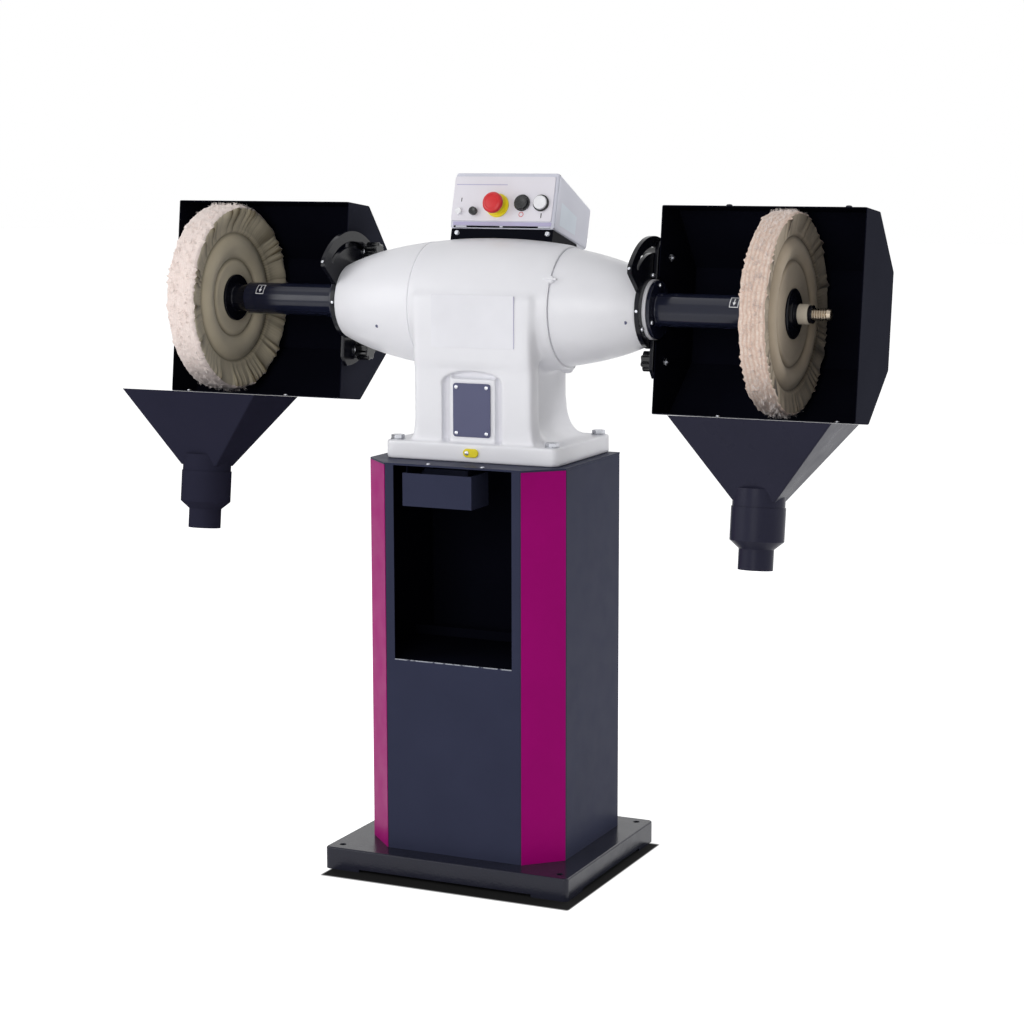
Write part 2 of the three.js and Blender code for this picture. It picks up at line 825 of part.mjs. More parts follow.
// Places along the shaft of one wheel and its clamping parts
function wheelPlaces(inner) {
  const outer = inner + wheelThickness;
  const hubInner = inner + (wheelThickness - wheelHubThickness) / 2;
  const hubOuter = outer - (wheelThickness - wheelHubThickness) / 2;
  const dishEnd = hubOuter + seatGap + dishLength;
  const sleeveEnd = dishEnd + seatGap + sleeveLength;
  return { inner, outer, hubInner, hubOuter, dishEnd, sleeveEnd, tip: sleeveEnd + threadLength };
}

const sides = [
  { name: 'right', side: 1, places: wheelPlaces(wheelInnerRight) },
  { name: 'left', side: -1, places: wheelPlaces(wheelInnerLeft) },
];

// Shaft: one length through the motor, both tubes and both wheels, with a thinner thread at each end
function shaft() {
  const [right, left] = sides;
  return turnedX([
    [0, -left.places.tip],
    [threadRadius, -left.places.tip],
    [threadRadius, -left.places.dishEnd],
    [shaftRadius, -left.places.dishEnd],
    [shaftRadius, right.places.dishEnd],
    [threadRadius, right.places.dishEnd],
    [threadRadius, right.places.tip],
    [0, right.places.tip],
  ], smallSides);
}

add(head, 'shaft', shaft(), 'steel');

// Bracket: a ring on the bell, with a fan above it that holds the arc slot
function bracket(side) {
  const polar = (radius, angle) => [radius * Math.cos(angle * degree), radius * Math.sin(angle * degree)];
  const arcPoints = (startRadius, endRadius, from, to) => {
    const points = [];
    for (let i = 0; i <= slotSides; i += 1) {
      const share = i / slotSides;
      points.push(polar(startRadius + (endRadius - startRadius) * share, from + (to - from) * share));
    }
    return points;
  };
  const fanStart = slotStartAngle - fanMargin;
  const fanEnd = slotEndAngle + fanMargin;
  const fan = shapeOf([
    ...arcPoints(fanBackRadius, fanFrontRadius, fanStart, fanEnd - fanCornerAngle),
    polar(fanFrontRadius - fanCorner, fanEnd),
    polar(bracketRing - seatGap, fanEnd + fanCornerAngle),
    polar((bracketRing + neckRingRadius) / 2, (fanStart + fanEnd) / 2),
    polar(bracketRing - seatGap, fanStart - fanCornerAngle),
  ]);
  const slotFar = slotRadius + slotHalfWidth;
  const slotNear = slotRadius - slotHalfWidth;
  const slot = shapeOf([
    ...arcPoints(slotFar, slotFar, slotStartAngle, slotEndAngle),
    ...arcPoints(slotNear, slotNear, slotEndAngle, slotStartAngle),
  ]);
  const [from, to] = [bracketInner - cutOverrun, bracketOuter + cutOverrun];
  let plateSolid = rodX(bracketRing, bracketInner, bracketOuter).add(prismX(fan, bracketInner, bracketOuter));
  plateSolid = plateSolid.subtract(prismX(slot, from, to));
  for (const angle of [slotStartAngle, slotEndAngle]) {
    plateSolid = plateSolid.subtract(rodX(slotHalfWidth, from, to, ...polar(slotRadius, angle), smallSides));
  }
  return toSide(plateSolid.subtract(rodX(neckRingRadius + seatGap, from, to)), side);
}

// Spindle tube with the flange that bolts to the neck ring
function spindleTube(side) {
  return toSide(turnedX([
    [tubeFlangeRadius, tubeFlangeFace],
    [tubeFlangeRadius, tubeFlangeBack],
    [tubeRadius, tubeFlangeBack],
    [tubeRadius, tubeEnd],
    [tubeRadius - tubeWall, tubeEnd],
    [tubeRadius - tubeWall, tubeFlangeFace],
  ]), side);
}

// Inner flange: a disc against the wheel, with a boss back to the tube's bearing
function innerFlange({ hubInner }, side) {
  const back = hubInner - seatGap;
  return toSide(turnedX([
    [flangeRadius, back - flangeSheet],
    [flangeRadius, back],
    [shaftRadius + seatGap, back],
    [shaftRadius + seatGap, tubeEnd + runGap],
    [flangeBoss, tubeEnd + runGap],
    [flangeBoss, back - flangeSheet],
  ], smallSides), side);
}

// Buffing wheel: pleated cotton layers, thinner where they are stitched round the hub
function buffingWheel({ inner, outer, hubInner, hubOuter }, side) {
  const middle = (inner + outer) / 2;
  return toSide(turnedX([
    [shaftRadius + seatGap, hubInner],
    [wheelHubRadius, hubInner],
    [wheelBandRadius, inner],
    [wheelRadius - wheelRound, inner],
    [wheelRadius, inner + wheelRound],
    [wheelRadius, middle],
    [wheelRadius, outer - wheelRound],
    [wheelRadius - wheelRound, outer],
    [wheelBandRadius, outer],
    [wheelHubRadius, hubOuter],
    [shaftRadius + seatGap, hubOuter],
  ]), side);
}

// Outer flange: a disc with a dished boss
function outerFlange({ hubOuter, dishEnd }, side) {
  const face = hubOuter + seatGap;
  return toSide(turnedX([
    [flangeRadius, face],
    [flangeRadius, face + flangeSheet / 2],
    [dishRadius, face + flangeSheet],
    [dishRadius, dishEnd],
    [shaftRadius + seatGap, dishEnd],
    [shaftRadius + seatGap, face],
  ], smallSides), side);
}

// Sleeve nut on the thread
function sleeveNut({ dishEnd, sleeveEnd }, side) {
  return toSide(ring(sleeveRadius, threadRadius + seatGap, dishEnd + seatGap, sleeveEnd, smallSides), side);
}

// Swivel plate: half a disc that turns on the neck ring and carries the hood
function swivelPlate(side, holes) {
  const reach = swivelRadius + cutOverrun;
  const tip = Math.sqrt(swivelRadius ** 2 - swivelAhead ** 2);
  const ahead = shapeOf([
    [-reach, -reach],
    [swivelCorner - swivelAhead, -reach],
    [swivelCorner - swivelAhead, -tip],
    [-swivelAhead, swivelCorner - tip],
    [-swivelAhead, tip - swivelCorner],
    [swivelCorner - swivelAhead, tip],
    [swivelCorner - swivelAhead, reach],
    [-reach, reach],
  ]);
  const [from, to] = [swivelInner - cutOverrun, swivelOuter + cutOverrun];
  let disc = rodX(swivelRadius, swivelInner, swivelOuter).subtract(prismX(ahead, from, to));
  disc = disc.subtract(rodX(neckRingRadius + runGap, from, to));
  for (const [y, z] of holes) {
    disc = disc.subtract(rodX(studRadius + seatGap, from, to, y, z, smallSides));
  }
  return toSide(disc, side);
}

// Hood: a folded five-sided shell, open at the front, notched round the tube
function hood(side, holes) {
  const outline = (inset, front) => {
    const high = hoodHalfHeight - inset;
    const deep = hoodDepth - inset;
    const run = hoodDepth - hoodShoulder;
    const rise = hoodHalfHeight - hoodBackHalf;
    const slope = Math.hypot(run, rise);
    const shoulder = hoodShoulder - (inset * (slope - run)) / rise;
    const back = hoodBackHalf - (inset * (slope - rise)) / run;
    return shapeOf([
      [front, high],
      [shoulder, high],
      [deep, back],
      [deep, -back],
      [shoulder, -high],
      [front, -high],
    ]);
  };
  let shell = prismX(outline(0, 0), hoodInner, hoodOuter);
  shell = shell.subtract(prismX(outline(hoodSheet, -cutOverrun), hoodInner + hoodSheet, hoodOuter - hoodSheet));
  const [from, to] = [hoodInner - cutOverrun, hoodInner + hoodSheet + cutOverrun];
  shell = shell.subtract(rodX(hoodNotch, from, to));
  for (const [y, z] of holes) {
    shell = shell.subtract(rodX(studRadius + seatGap, from, to, y, z, smallSides));
  }
  return toSide(shell, side);
}

// Funnel: a tapering hopper in front of the hood's lower edge, with a short pipe through its outlet
function funnel(side) {
  const top = -hoodHalfHeight - seatGap;
  const low = top - funnelFall;
  const upper = (inset, z) => [
    funnelCentre - funnelWidth / 2 + inset,
    funnelCentre + funnelWidth / 2 - inset,
    -funnelDepth + inset,
    -inset,
    z,
  ];
  const lower = (inset, z) => [
    funnelCentre - funnelOutletWidth / 2 + inset,
    funnelCentre + funnelOutletWidth / 2 - inset,
    -funnelOutletCentre - funnelOutletDepth / 2 + inset,
    -funnelOutletCentre + funnelOutletDepth / 2 - inset,
    z,
  ];
  const pipe = (radius, from, to) => rodZ(radius, from, to, funnelCentre, -funnelOutletCentre, turnSides);
  const bore = pipeRadius - pipeWall;
  const outside = hopper(upper(0, top), lower(0, low)).add(pipe(pipeRadius, pipeBottom, pipeTop));
  const inside = hopper(upper(funnelSheet, top + funnelOverrun), lower(funnelSheet, low + funnelSheet));
  const passage = pipe(bore, pipeBottom - cutOverrun, pipeTop - pipeWall);
  return toSide(outside.subtract(inside).subtract(passage), side);
}

// Reducer: a collar over the funnel's pipe, a taper and a hose spigot
function reducer(side) {
  const collarTop = pipeTop - pipeRise - pipeLapStart;
  const collarInner = pipeRadius + seatGap;
  const collarOuter = collarInner + reducerWall / 2;
  const taperTop = collarTop - reducerCollar;
  const taperEnd = taperTop - reducerTaper;
  const spigotEnd = taperEnd - reducerSpigot;
  return toSide(turnedZ([
    [collarOuter, collarTop],
    [collarOuter, taperTop],
    [spigotRadius, taperEnd],
    [spigotRadius, spigotEnd],
    [spigotRadius - reducerWall, spigotEnd],
    [spigotRadius - reducerWall, taperEnd],
    [collarInner, taperTop],
    [collarInner, collarTop],
  ], funnelCentre, -funnelOutletCentre), side);
}

// Clamp knob: a ribbed grip with a washer, on a stud that reaches into the hood
function clampKnob(side, [y, z], face) {
  const seat = face - seatGap;
  const washer = rodX(knobRadius / 2 + studRadius, seat - knobWasher, seat, y, z, smallSides);
  const grip = rodX(knobRadius, seat - knobWasher - knobLength, seat - knobWasher, y, z, smallSides);
  const stud = rodX(studRadius, seat - knobWasher, hoodInner + studReach, y, z, smallSides);
  return toSide(washer.add(grip).add(stud), side);
}

// The slot stud stands at the slot's rear end, turned back by the hood's tilt
const studAngle = slotStartAngle * degree + tilt;
const slotStud = [slotRadius * Math.cos(studAngle), slotRadius * Math.sin(studAngle)];
const lowerStud = [lowerKnobAlong, -lowerKnobDrop];

for (const { name, side, places } of sides) {
  add(head, `bearing_${name}`, toSide(ring(
    bearingRadius - seatGap,
    shaftRadius + seatGap,
    bellFace - bearingShoulder - bearingWidth,
    bellFace - bearingShoulder - seatGap,
    smallSides,
  ), side), 'steel');
  add(head, `bracket_${name}`, bracket(side), 'black');
  add(head, `spindle_tube_${name}`, spindleTube(side), 'black');
  add(head, `tube_bearing_${name}`, toSide(ring(
    tubeRadius - tubeWall - seatGap,
    shaftRadius + seatGap,
    tubeEnd - tubeBearingWidth,
    tubeEnd,
    smallSides,
  ), side), 'steel');
  add(head, `inner_flange_${name}`, innerFlange(places, side), 'black');
  add(head, `buffing_wheel_${name}`, buffingWheel(places, side), 'cotton');
  add(head, `outer_flange_${name}`, outerFlange(places, side), 'black');
  add(head, `sleeve_nut_${name}`, sleeveNut(places, side), 'steel');
  const tilted = new THREE.Group();
  tilted.rotation.x = -tilt;
  head.add(tilted);
  add(tilted, `swivel_plate_${name}`, swivelPlate(side, [slotStud, lowerStud]), 'black');
  add(tilted, `hood_${name}`, hood(side, [slotStud, lowerStud]), 'anthracite');
  add(tilted, `funnel_${name}`, funnel(side), 'anthracite');
  add(tilted, `pipe_reducer_${name}`, reducer(side), 'black');
  add(tilted, `slot_knob_${name}`, clampKnob(side, slotStud, bracketInner), 'black');
  add(tilted, `lower_knob_${name}`, clampKnob(side, lowerStud, swivelInner), 'black');
}

// Control box: its frame starts at the lower front edge and leans back
const box = new THREE.Group();
box.position.set(castingX, boxForward, boxRise);
box.rotation.x = -pitch;
head.add(box);

// Box shell: a folded console, open where the panel closes it
function boxShell() {
  const outline = (inset, front) => shapeOf([
    [front, inset],
    [boxDepth - inset, inset],
    [boxDepth - inset, boxBackHeight - inset],
    [front, boxFrontHeight - inset],
  ]);
  const outer = prismX(outline(0, 0), -boxWidth / 2, boxWidth / 2);
  const inner = prismX(outline(boxSheet, -cutOverrun), boxSheet - boxWidth / 2, boxWidth / 2 - boxSheet);
  return outer.subtract(inner);
}

// Cradle: a skirted tray upside down under the box, cut to sit on the barrel
function cradle() {
  const top = -seatGap;
  const outer = block(
    [-cradleWidth / 2, cradleSheet, top - cradleSkirt],
    [cradleWidth / 2, cradleDepth, top],
  );
  const inner = block(
    [cradleSheet - cradleWidth / 2, 2 * cradleSheet, top - cradleSkirt - cutOverrun],
    [cradleWidth / 2 - cradleSheet, cradleDepth - cradleSheet, top - cradleSheet],
  );
  const envelope = geometryOf(castingEnvelope(seatGap));
  envelope.translate(-castingX, -boxForward, -boxRise);
  envelope.rotateX(pitch);
  return outer.subtract(inner).subtract(solidOf(envelope));
}

// A round control on the panel: a cap that stands off it, and a stem through it
function control(radius, stand0, thickness, stem, across, up) {
  const face = -panelSheet;
  const cap = rodY(radius, face - stand0 - thickness, face - stand0, across, up);
  return cap.add(rodY(stem, face - stand0, controlStem, across, up));
}

const panelHoles = [
  [stopAcross, stopUp, mushroomStem],
  [offAcross, offUp, pushStem],
  [onAcross, onUp, pushStem],
  [resetAcross, resetUp, resetStem],
  [lampAcross, lampUp, resetStem],
];

// Panel: the front plate, with a hole for each control
function controlPanel() {
  let panel = block(
    [panelMargin - boxWidth / 2, -panelSheet - seatGap, panelMargin],
    [boxWidth / 2 - panelMargin, -seatGap, boxFrontHeight - panelMargin],
  );
  for (const [across, up, radius] of panelHoles) {
    panel = panel.subtract(rodY(radius + runGap, -panelSheet - cutOverrun, cutOverrun, across, up));
  }
  return panel;
}

// Stop collar: a disc and a boss round the emergency stop's stem
function stopCollar() {
  const face = -panelSheet - 2 * seatGap;
  const bossFace = face - collarSheet - collarBoss;
  const disc = rodY(collarRadius, face - collarSheet, face, stopAcross, stopUp);
  const boss = rodY(collarBossRadius, bossFace, face - collarSheet, stopAcross, stopUp);
  const hole = rodY(mushroomStem + runGap, bossFace - cutOverrun, 0, stopAcross, stopUp);
  return disc.add(boss).subtract(hole);
}

add(box, 'control_box', boxShell(), 'boxGrey');
add(box, 'box_cradle', cradle(), 'black');
add(box, 'control_panel', controlPanel(), 'boxGrey');
add(box, 'stop_collar', stopCollar(), 'yellow');
add(
  box,
  'emergency_stop',
  control(mushroomRadius, mushroomStand, mushroomThickness, mushroomStem, stopAcross, stopUp),
  'red',
);
add(box, 'stop_button', control(pushRadius, pushStand, pushThickness, pushStem, offAcross, offUp), 'black');
add(box, 'start_button', control(pushRadius, pushStand, pushThickness, pushStem, onAcross, onUp), 'white');
add(
  box,
  'reset_button',
  control(resetRadius, resetStand, resetThickness, resetStem, resetAcross, resetUp),
  'black',
);
add(
  box,
  'pilot_lamp',
  control(lampRadius, 2 * seatGap, lampThickness, resetStem, lampAcross, lampUp),
  'white',
);
add(box, 'contactor', block(
  [-contactorWidth / 2, boxDepth - boxSheet - contactorSetback - contactorDepth, boxSheet + seatGap],
  [contactorWidth / 2, boxDepth - boxSheet - contactorSetback, boxSheet + seatGap + contactorHeight],
), 'black');

export default group;
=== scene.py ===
"""The looks of a pedestal polishing machine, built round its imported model.

Shapes are modelled in millimetres, each in the frame of its own sub-assembly, and a finished
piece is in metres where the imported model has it.
"""

import logging
import math
import random
from collections.abc import Callable, Sequence
from dataclasses import dataclass, field, replace
from enum import Enum

import bmesh
import bpy
from mathutils import Matrix, Vector, noise


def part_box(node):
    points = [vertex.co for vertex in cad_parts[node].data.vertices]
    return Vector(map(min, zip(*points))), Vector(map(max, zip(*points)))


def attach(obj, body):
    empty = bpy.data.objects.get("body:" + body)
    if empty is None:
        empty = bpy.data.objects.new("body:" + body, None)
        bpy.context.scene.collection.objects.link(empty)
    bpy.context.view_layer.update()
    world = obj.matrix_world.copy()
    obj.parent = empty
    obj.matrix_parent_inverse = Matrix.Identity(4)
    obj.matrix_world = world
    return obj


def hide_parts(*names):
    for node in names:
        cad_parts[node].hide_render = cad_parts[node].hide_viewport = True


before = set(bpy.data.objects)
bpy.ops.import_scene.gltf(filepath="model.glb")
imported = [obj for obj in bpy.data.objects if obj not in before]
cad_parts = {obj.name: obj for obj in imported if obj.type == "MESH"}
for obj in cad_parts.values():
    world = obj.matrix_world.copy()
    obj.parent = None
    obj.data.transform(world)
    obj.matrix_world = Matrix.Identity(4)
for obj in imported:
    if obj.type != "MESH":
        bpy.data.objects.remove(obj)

LOG = logging.getLogger("polishing_machine")
FINE_SECTORS = 24
ONE_TURN = 200
MM = 0.001
WELD = 0.001
# Name of the point attribute that holds the painted shade of a wheel's folds and seams.
FOLD_SHADE_ATTRIBUTE = "folds"

Point = tuple[float, float]
Colour = tuple[int, int, int]
Triple = tuple[float, float, float]
Socket = bpy.types.NodeSocket


def middle_of(node: str) -> Vector:
    """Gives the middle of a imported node's box, in millimetres."""
    low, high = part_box(node)
    return (low + high) / (2 * MM)


SHAFT_LINE = middle_of("shaft")
CASTING_SHIFT = 7.0
HOOD_TILT = math.radians(6.87)
BOX_PITCH = math.radians(16)
STAND = Matrix.Translation((0, middle_of("column_shell").y, 0))
HEAD = Matrix.Translation((0, SHAFT_LINE.y, SHAFT_LINE.z))
CASTING = HEAD @ Matrix.Translation((CASTING_SHIFT, 0, 0))
UNSHIFTED = Matrix.Translation((-CASTING_SHIFT, 0, 0))
CONSOLE_SEAT = (CASTING_SHIFT, 12, 157)
CONSOLE = HEAD @ Matrix.Translation(CONSOLE_SEAT) @ Matrix.Rotation(-BOX_PITCH, 4, "X")


class Side(Enum):
    """An end of the machine, with the direction that it takes along the shaft."""

    LEFT = -1
    RIGHT = 1

    @property
    def label(self) -> str:
        """The side's word in a node's name."""
        return self.name.lower()

    @property
    def head(self) -> Matrix:
        """The head's frame, mirrored for the left, so that X always runs outwards."""
        return HEAD @ Matrix.Scale(self.value, 4, (1, 0, 0))

    @property
    def hood(self) -> Matrix:
        """The tilted frame of this side's hood."""
        return self.head @ Matrix.Rotation(-HOOD_TILT, 4, "X")


class Axis(Enum):
    """The direction that a shape is turned about or pulled along."""

    X = "X"
    Y = "Y"
    Z = "Z"

    def point(self, along: float, across: float = 0, up: float = 0) -> Vector:
        """Places a point.

        Args:
            along: Distance along this axis.
            across: Distance along the first of the other two axes.
            up: Distance along the second of the other two axes.

        Returns:
            The point's coordinates.
        """
        if self is Axis.X:
            return Vector((along, across, up))
        if self is Axis.Y:
            return Vector((across, along, up))
        return Vector((across, up, along))

    def turn(self) -> Matrix:
        """Gives the turn that lays the Z axis along this one."""
        if self is Axis.X:
            return Matrix.Rotation(math.radians(90), 4, "Y")
        if self is Axis.Y:
            return Matrix.Rotation(math.radians(-90), 4, "X")
        return Matrix.Identity(4)


class Carving(Enum):
    """How one shape changes another."""

    JOIN = "UNION"
    CUT = "DIFFERENCE"


class Shape:
    """A shape in the making: a mesh in millimetres that the steps below change in turn."""

    def __init__(self) -> None:
        """Starts with an empty mesh."""
        self.mesh = bmesh.new()

    def facing_out(self) -> "Shape":
        """Turns every face outwards."""
        bmesh.ops.recalc_face_normals(self.mesh, faces=self.mesh.faces)
        return self

    @classmethod
    def block(cls, low: Sequence[float], high: Sequence[float]) -> "Shape":
        """Makes a block between two corners."""
        shape = cls()
        size = [b - a for a, b in zip(low, high)]
        middle = [(a + b) / 2 for a, b in zip(low, high)]
        matrix = Matrix.Translation(middle) @ Matrix.Diagonal((*size, 1))
        bmesh.ops.create_cube(shape.mesh, size=1, matrix=matrix)
        return shape.facing_out()

    @classmethod
    def rod(
        cls,
        axis: Axis,
        radius: float,
        start: float,
        end: float,
        at: Point = (0, 0),
        sides: int = 48,
        end_radius: float | None = None,
    ) -> "Shape":
        """Makes a rod, or a tapering one where the end has a radius of its own."""
        shape = cls()
        matrix = Matrix.Translation(axis.point((start + end) / 2, *at)) @ axis.turn()
        last = radius if end_radius is None else end_radius
        bmesh.ops.create_cone(
            shape.mesh,
            cap_ends=True,
            cap_tris=False,
            segments=sides,
            radius1=radius,
            radius2=last,
            depth=end - start,
            matrix=matrix,
        )
        return shape.facing_out()

    @classmethod
    def turned(
        cls,
        axis: Axis,
        profile: Sequence[Point],
        at: Point = (0, 0),
        sides: int = 96,
        hollow: bool = False,
    ) -> "Shape":
        """Turns a profile about an axis.

        Args:
            axis: The axis that it turns about.
            profile: Points as radius and place along the axis.
            at: Where the axis stands.
            sides: Number of flats round the shape.
            hollow: True closes the profile on itself, so that a ring is left.

        Returns:
            The turned shape.
        """
        shape = cls()
        mesh = shape.mesh
        corners = [
            mesh.verts.new(axis.point(along, at[0] + radius, at[1])) for radius, along in profile
        ]
        pairs = list(zip(corners, corners[1:]))
        if hollow:
            pairs.append((corners[-1], corners[0]))
        edges = [mesh.edges.new(pair) for pair in pairs]
        sectors = FINE_SECTORS if sides > ONE_TURN else 1
        bmesh.ops.spin(
            mesh,
            geom=corners + edges,
            cent=axis.point(0, *at),
            axis=axis.point(1),
            angle=math.tau / sectors,
            steps=sides // sectors,
            use_merge=sectors == 1,
            use_duplicate=False,
        )
        sector = [*mesh.verts, *mesh.edges, *mesh.faces]
        for step in range(1, sectors):
            copied = bmesh.ops.duplicate(mesh, geom=sector)["geom"]
            moved = [item for item in copied if isinstance(item, bmesh.types.BMVert)]
            turn = Matrix.Rotation(math.tau * step / sectors, 3, axis.point(1))
            bmesh.ops.rotate(mesh, cent=axis.point(0, *at), matrix=turn, verts=moved)
        bmesh.ops.remove_doubles(mesh, verts=mesh.verts, dist=WELD)
        return shape.facing_out()

    @classmethod
    def prism(cls, axis: Axis, outline: Sequence[Point], start: float, end: float) -> "Shape":
        """Pulls an outline along an axis."""
        shape = cls()
        mesh = shape.mesh
        face = mesh.faces.new([mesh.verts.new(axis.point(start, *point)) for point in outline])
        pulled = bmesh.ops.extrude_face_region(mesh, geom=[face])["geom"]
        corners = [item for item in pulled if isinstance(item, bmesh.types.BMVert)]
        bmesh.ops.translate(mesh, verts=corners, vec=axis.point(end - start))
        return shape.facing_out()

    @classmethod
    def of_node(cls, node: str, place: Matrix) -> "Shape":
        """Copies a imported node's shape into a frame, with its flat faces made whole."""
        shape = cls()
        mesh = shape.mesh
        mesh.from_mesh(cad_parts[node].data)
        shape.moved(place.inverted() @ Matrix.Scale(1 / MM, 4))
        bmesh.ops.remove_doubles(mesh, verts=mesh.verts, dist=10 * WELD)
        bmesh.ops.dissolve_limit(
            mesh, angle_limit=math.radians(1), verts=mesh.verts, edges=mesh.edges
        )
        return shape

    def moved(self, matrix: Matrix) -> "Shape":
        """Moves the shape, and keeps its faces outwards where the move mirrors it."""
        bmesh.ops.transform(self.mesh, matrix=matrix, verts=self.mesh.verts)
        if matrix.determinant() < 0:
            bmesh.ops.reverse_faces(self.mesh, faces=self.mesh.faces)
        return self

    def open_towards(self, direction: Vector) -> "Shape":
        """Takes away the faces that look in a direction."""
        faces = [face for face in self.mesh.faces if face.normal.dot(direction) > 0.99]
        bmesh.ops.delete(self.mesh, geom=faces, context="FACES")
        return self

    def soften(
        self,
        width: float,
        segments: int = 2,
        sharper: float = 25,
        where: Callable[[Vector, Vector], bool] | None = None,
    ) -> "Shape":
        """Rounds the sharp edges.

        Args:
            width: How far the rounding reaches from an edge.
            segments: Number of flats across it.
            sharper: Only edges that turn by more than this many degrees are rounded.
            where: Picks edges by their middle and direction.

        Returns:
            The same shape.
        """
        limit = math.radians(sharper)
        chosen = []
        for edge in self.mesh.edges:
            if not edge.is_manifold or edge.calc_face_angle(0) < limit:
                continue
            start, end = (corner.co for corner in edge.verts)
            if where is None or where((start + end) / 2, (end - start).normalized()):
                chosen.append(edge)
        bmesh.ops.bevel(
            self.mesh,
            geom=chosen,
            offset=width,
            offset_type="OFFSET",
            segments=segments,
            profile=0.5,
            affect="EDGES",
            clamp_overlap=True,
            material=-1,
        )
        return self

    def beside(self, *others: "Shape") -> "Shape":
        """Puts other shapes into this one as they are."""
        for other in others:
            data = bpy.data.meshes.new("beside")
            other.mesh.to_mesh(data)
            other.mesh.free()
            self.mesh.from_mesh(data)
            bpy.data.meshes.remove(data)
        return self

    def held(self) -> bpy.types.Object:
        """Puts the shape into a passing object, for a modifier to work on or with."""
        data = bpy.data.meshes.new("held")
        self.mesh.to_mesh(data)
        holder = bpy.data.objects.new("held", data)
        bpy.context.scene.collection.objects.link(holder)
        return holder

    def refine(self, kind: str, **settings: object) -> "Shape":
        """Runs one modifier on the shape and keeps its result."""
        holder = self.held()
        modifier = holder.modifiers.new(kind.title(), kind)
        for name, value in settings.items():
            setattr(modifier, name, value)
        graph = bpy.context.evaluated_depsgraph_get()
        result = bpy.data.meshes.new_from_object(holder.evaluated_get(graph))
        self.mesh.clear()
        self.mesh.from_mesh(result)
        bpy.data.meshes.remove(result)
        let_go(holder)
        return self

    def carve(self, tool: "Shape", carving: Carving = Carving.CUT) -> "Shape":
        """Cuts another shape out of this one, or joins it on."""
        holder = tool.held()
        tool.mesh.free()
        self.refine("BOOLEAN", object=holder, operation=carving.value, solver="EXACT")
        let_go(holder)
        return self

    def walled(self, thickness: float) -> "Shape":
        """Gives an open sheet its thickness, inwards."""
        return self.refine(
            "SOLIDIFY",
            thickness=thickness,
            offset=-1,
            use_even_offset=True,
            use_quality_normals=True,
        )


def let_go(holder: bpy.types.Object) -> None:
    """Removes a passing object with its mesh."""
    data = holder.data
    bpy.data.objects.remove(holder)
    bpy.data.meshes.remove(data)


def rounded(
    width: float, height: float, radius: float, at: Point = (0, 0), steps: int = 6
) -> list[Point]:
    """Draws a rectangle with round corners.

    Args:
        width: Full width.
        height: Full height.
        radius: Radius of the corners.
        at: Where its middle is.
        steps: Number of steps round a corner.

    Returns:
        The outline's points.
    """
    outline = []
    for quarter, (right, up) in enumerate([(1, 1), (-1, 1), (-1, -1), (1, -1)]):
        for step in range(steps + 1):
            angle = math.radians(90 * (quarter + step / steps))
            across = at[0] + right * (width / 2 - radius) + radius * math.cos(angle)
            rise = at[1] + up * (height / 2 - radius) + radius * math.sin(angle)
            outline.append((across, rise))
    return outline


def arc(
    radius: float, start: float, end: float, steps: int, end_radius: float | None = None
) -> list[Point]:
    """Draws an arc about the origin, in degrees, whose radius may change on the way."""
    last = radius if end_radius is None else end_radius
    points = []
    for step in range(steps + 1):
        share = step / steps
        angle = math.radians(start + (end - start) * share)
        reach = radius + (last - radius) * share
        points.append((reach * math.cos(angle), reach * math.sin(angle)))
    return points


def linear(colour: Colour, gain: float = 1) -> tuple[float, float, float, float]:
    """Turns a colour as the eye names it into the shader's values."""
    values = []
    for part in colour:
        share = part / 255
        value = share / 12.92 if share < 0.04045 else ((share + 0.055) / 1.055) ** 2.4
        values.append(min(value * gain, 1))
    return (*values, 1)


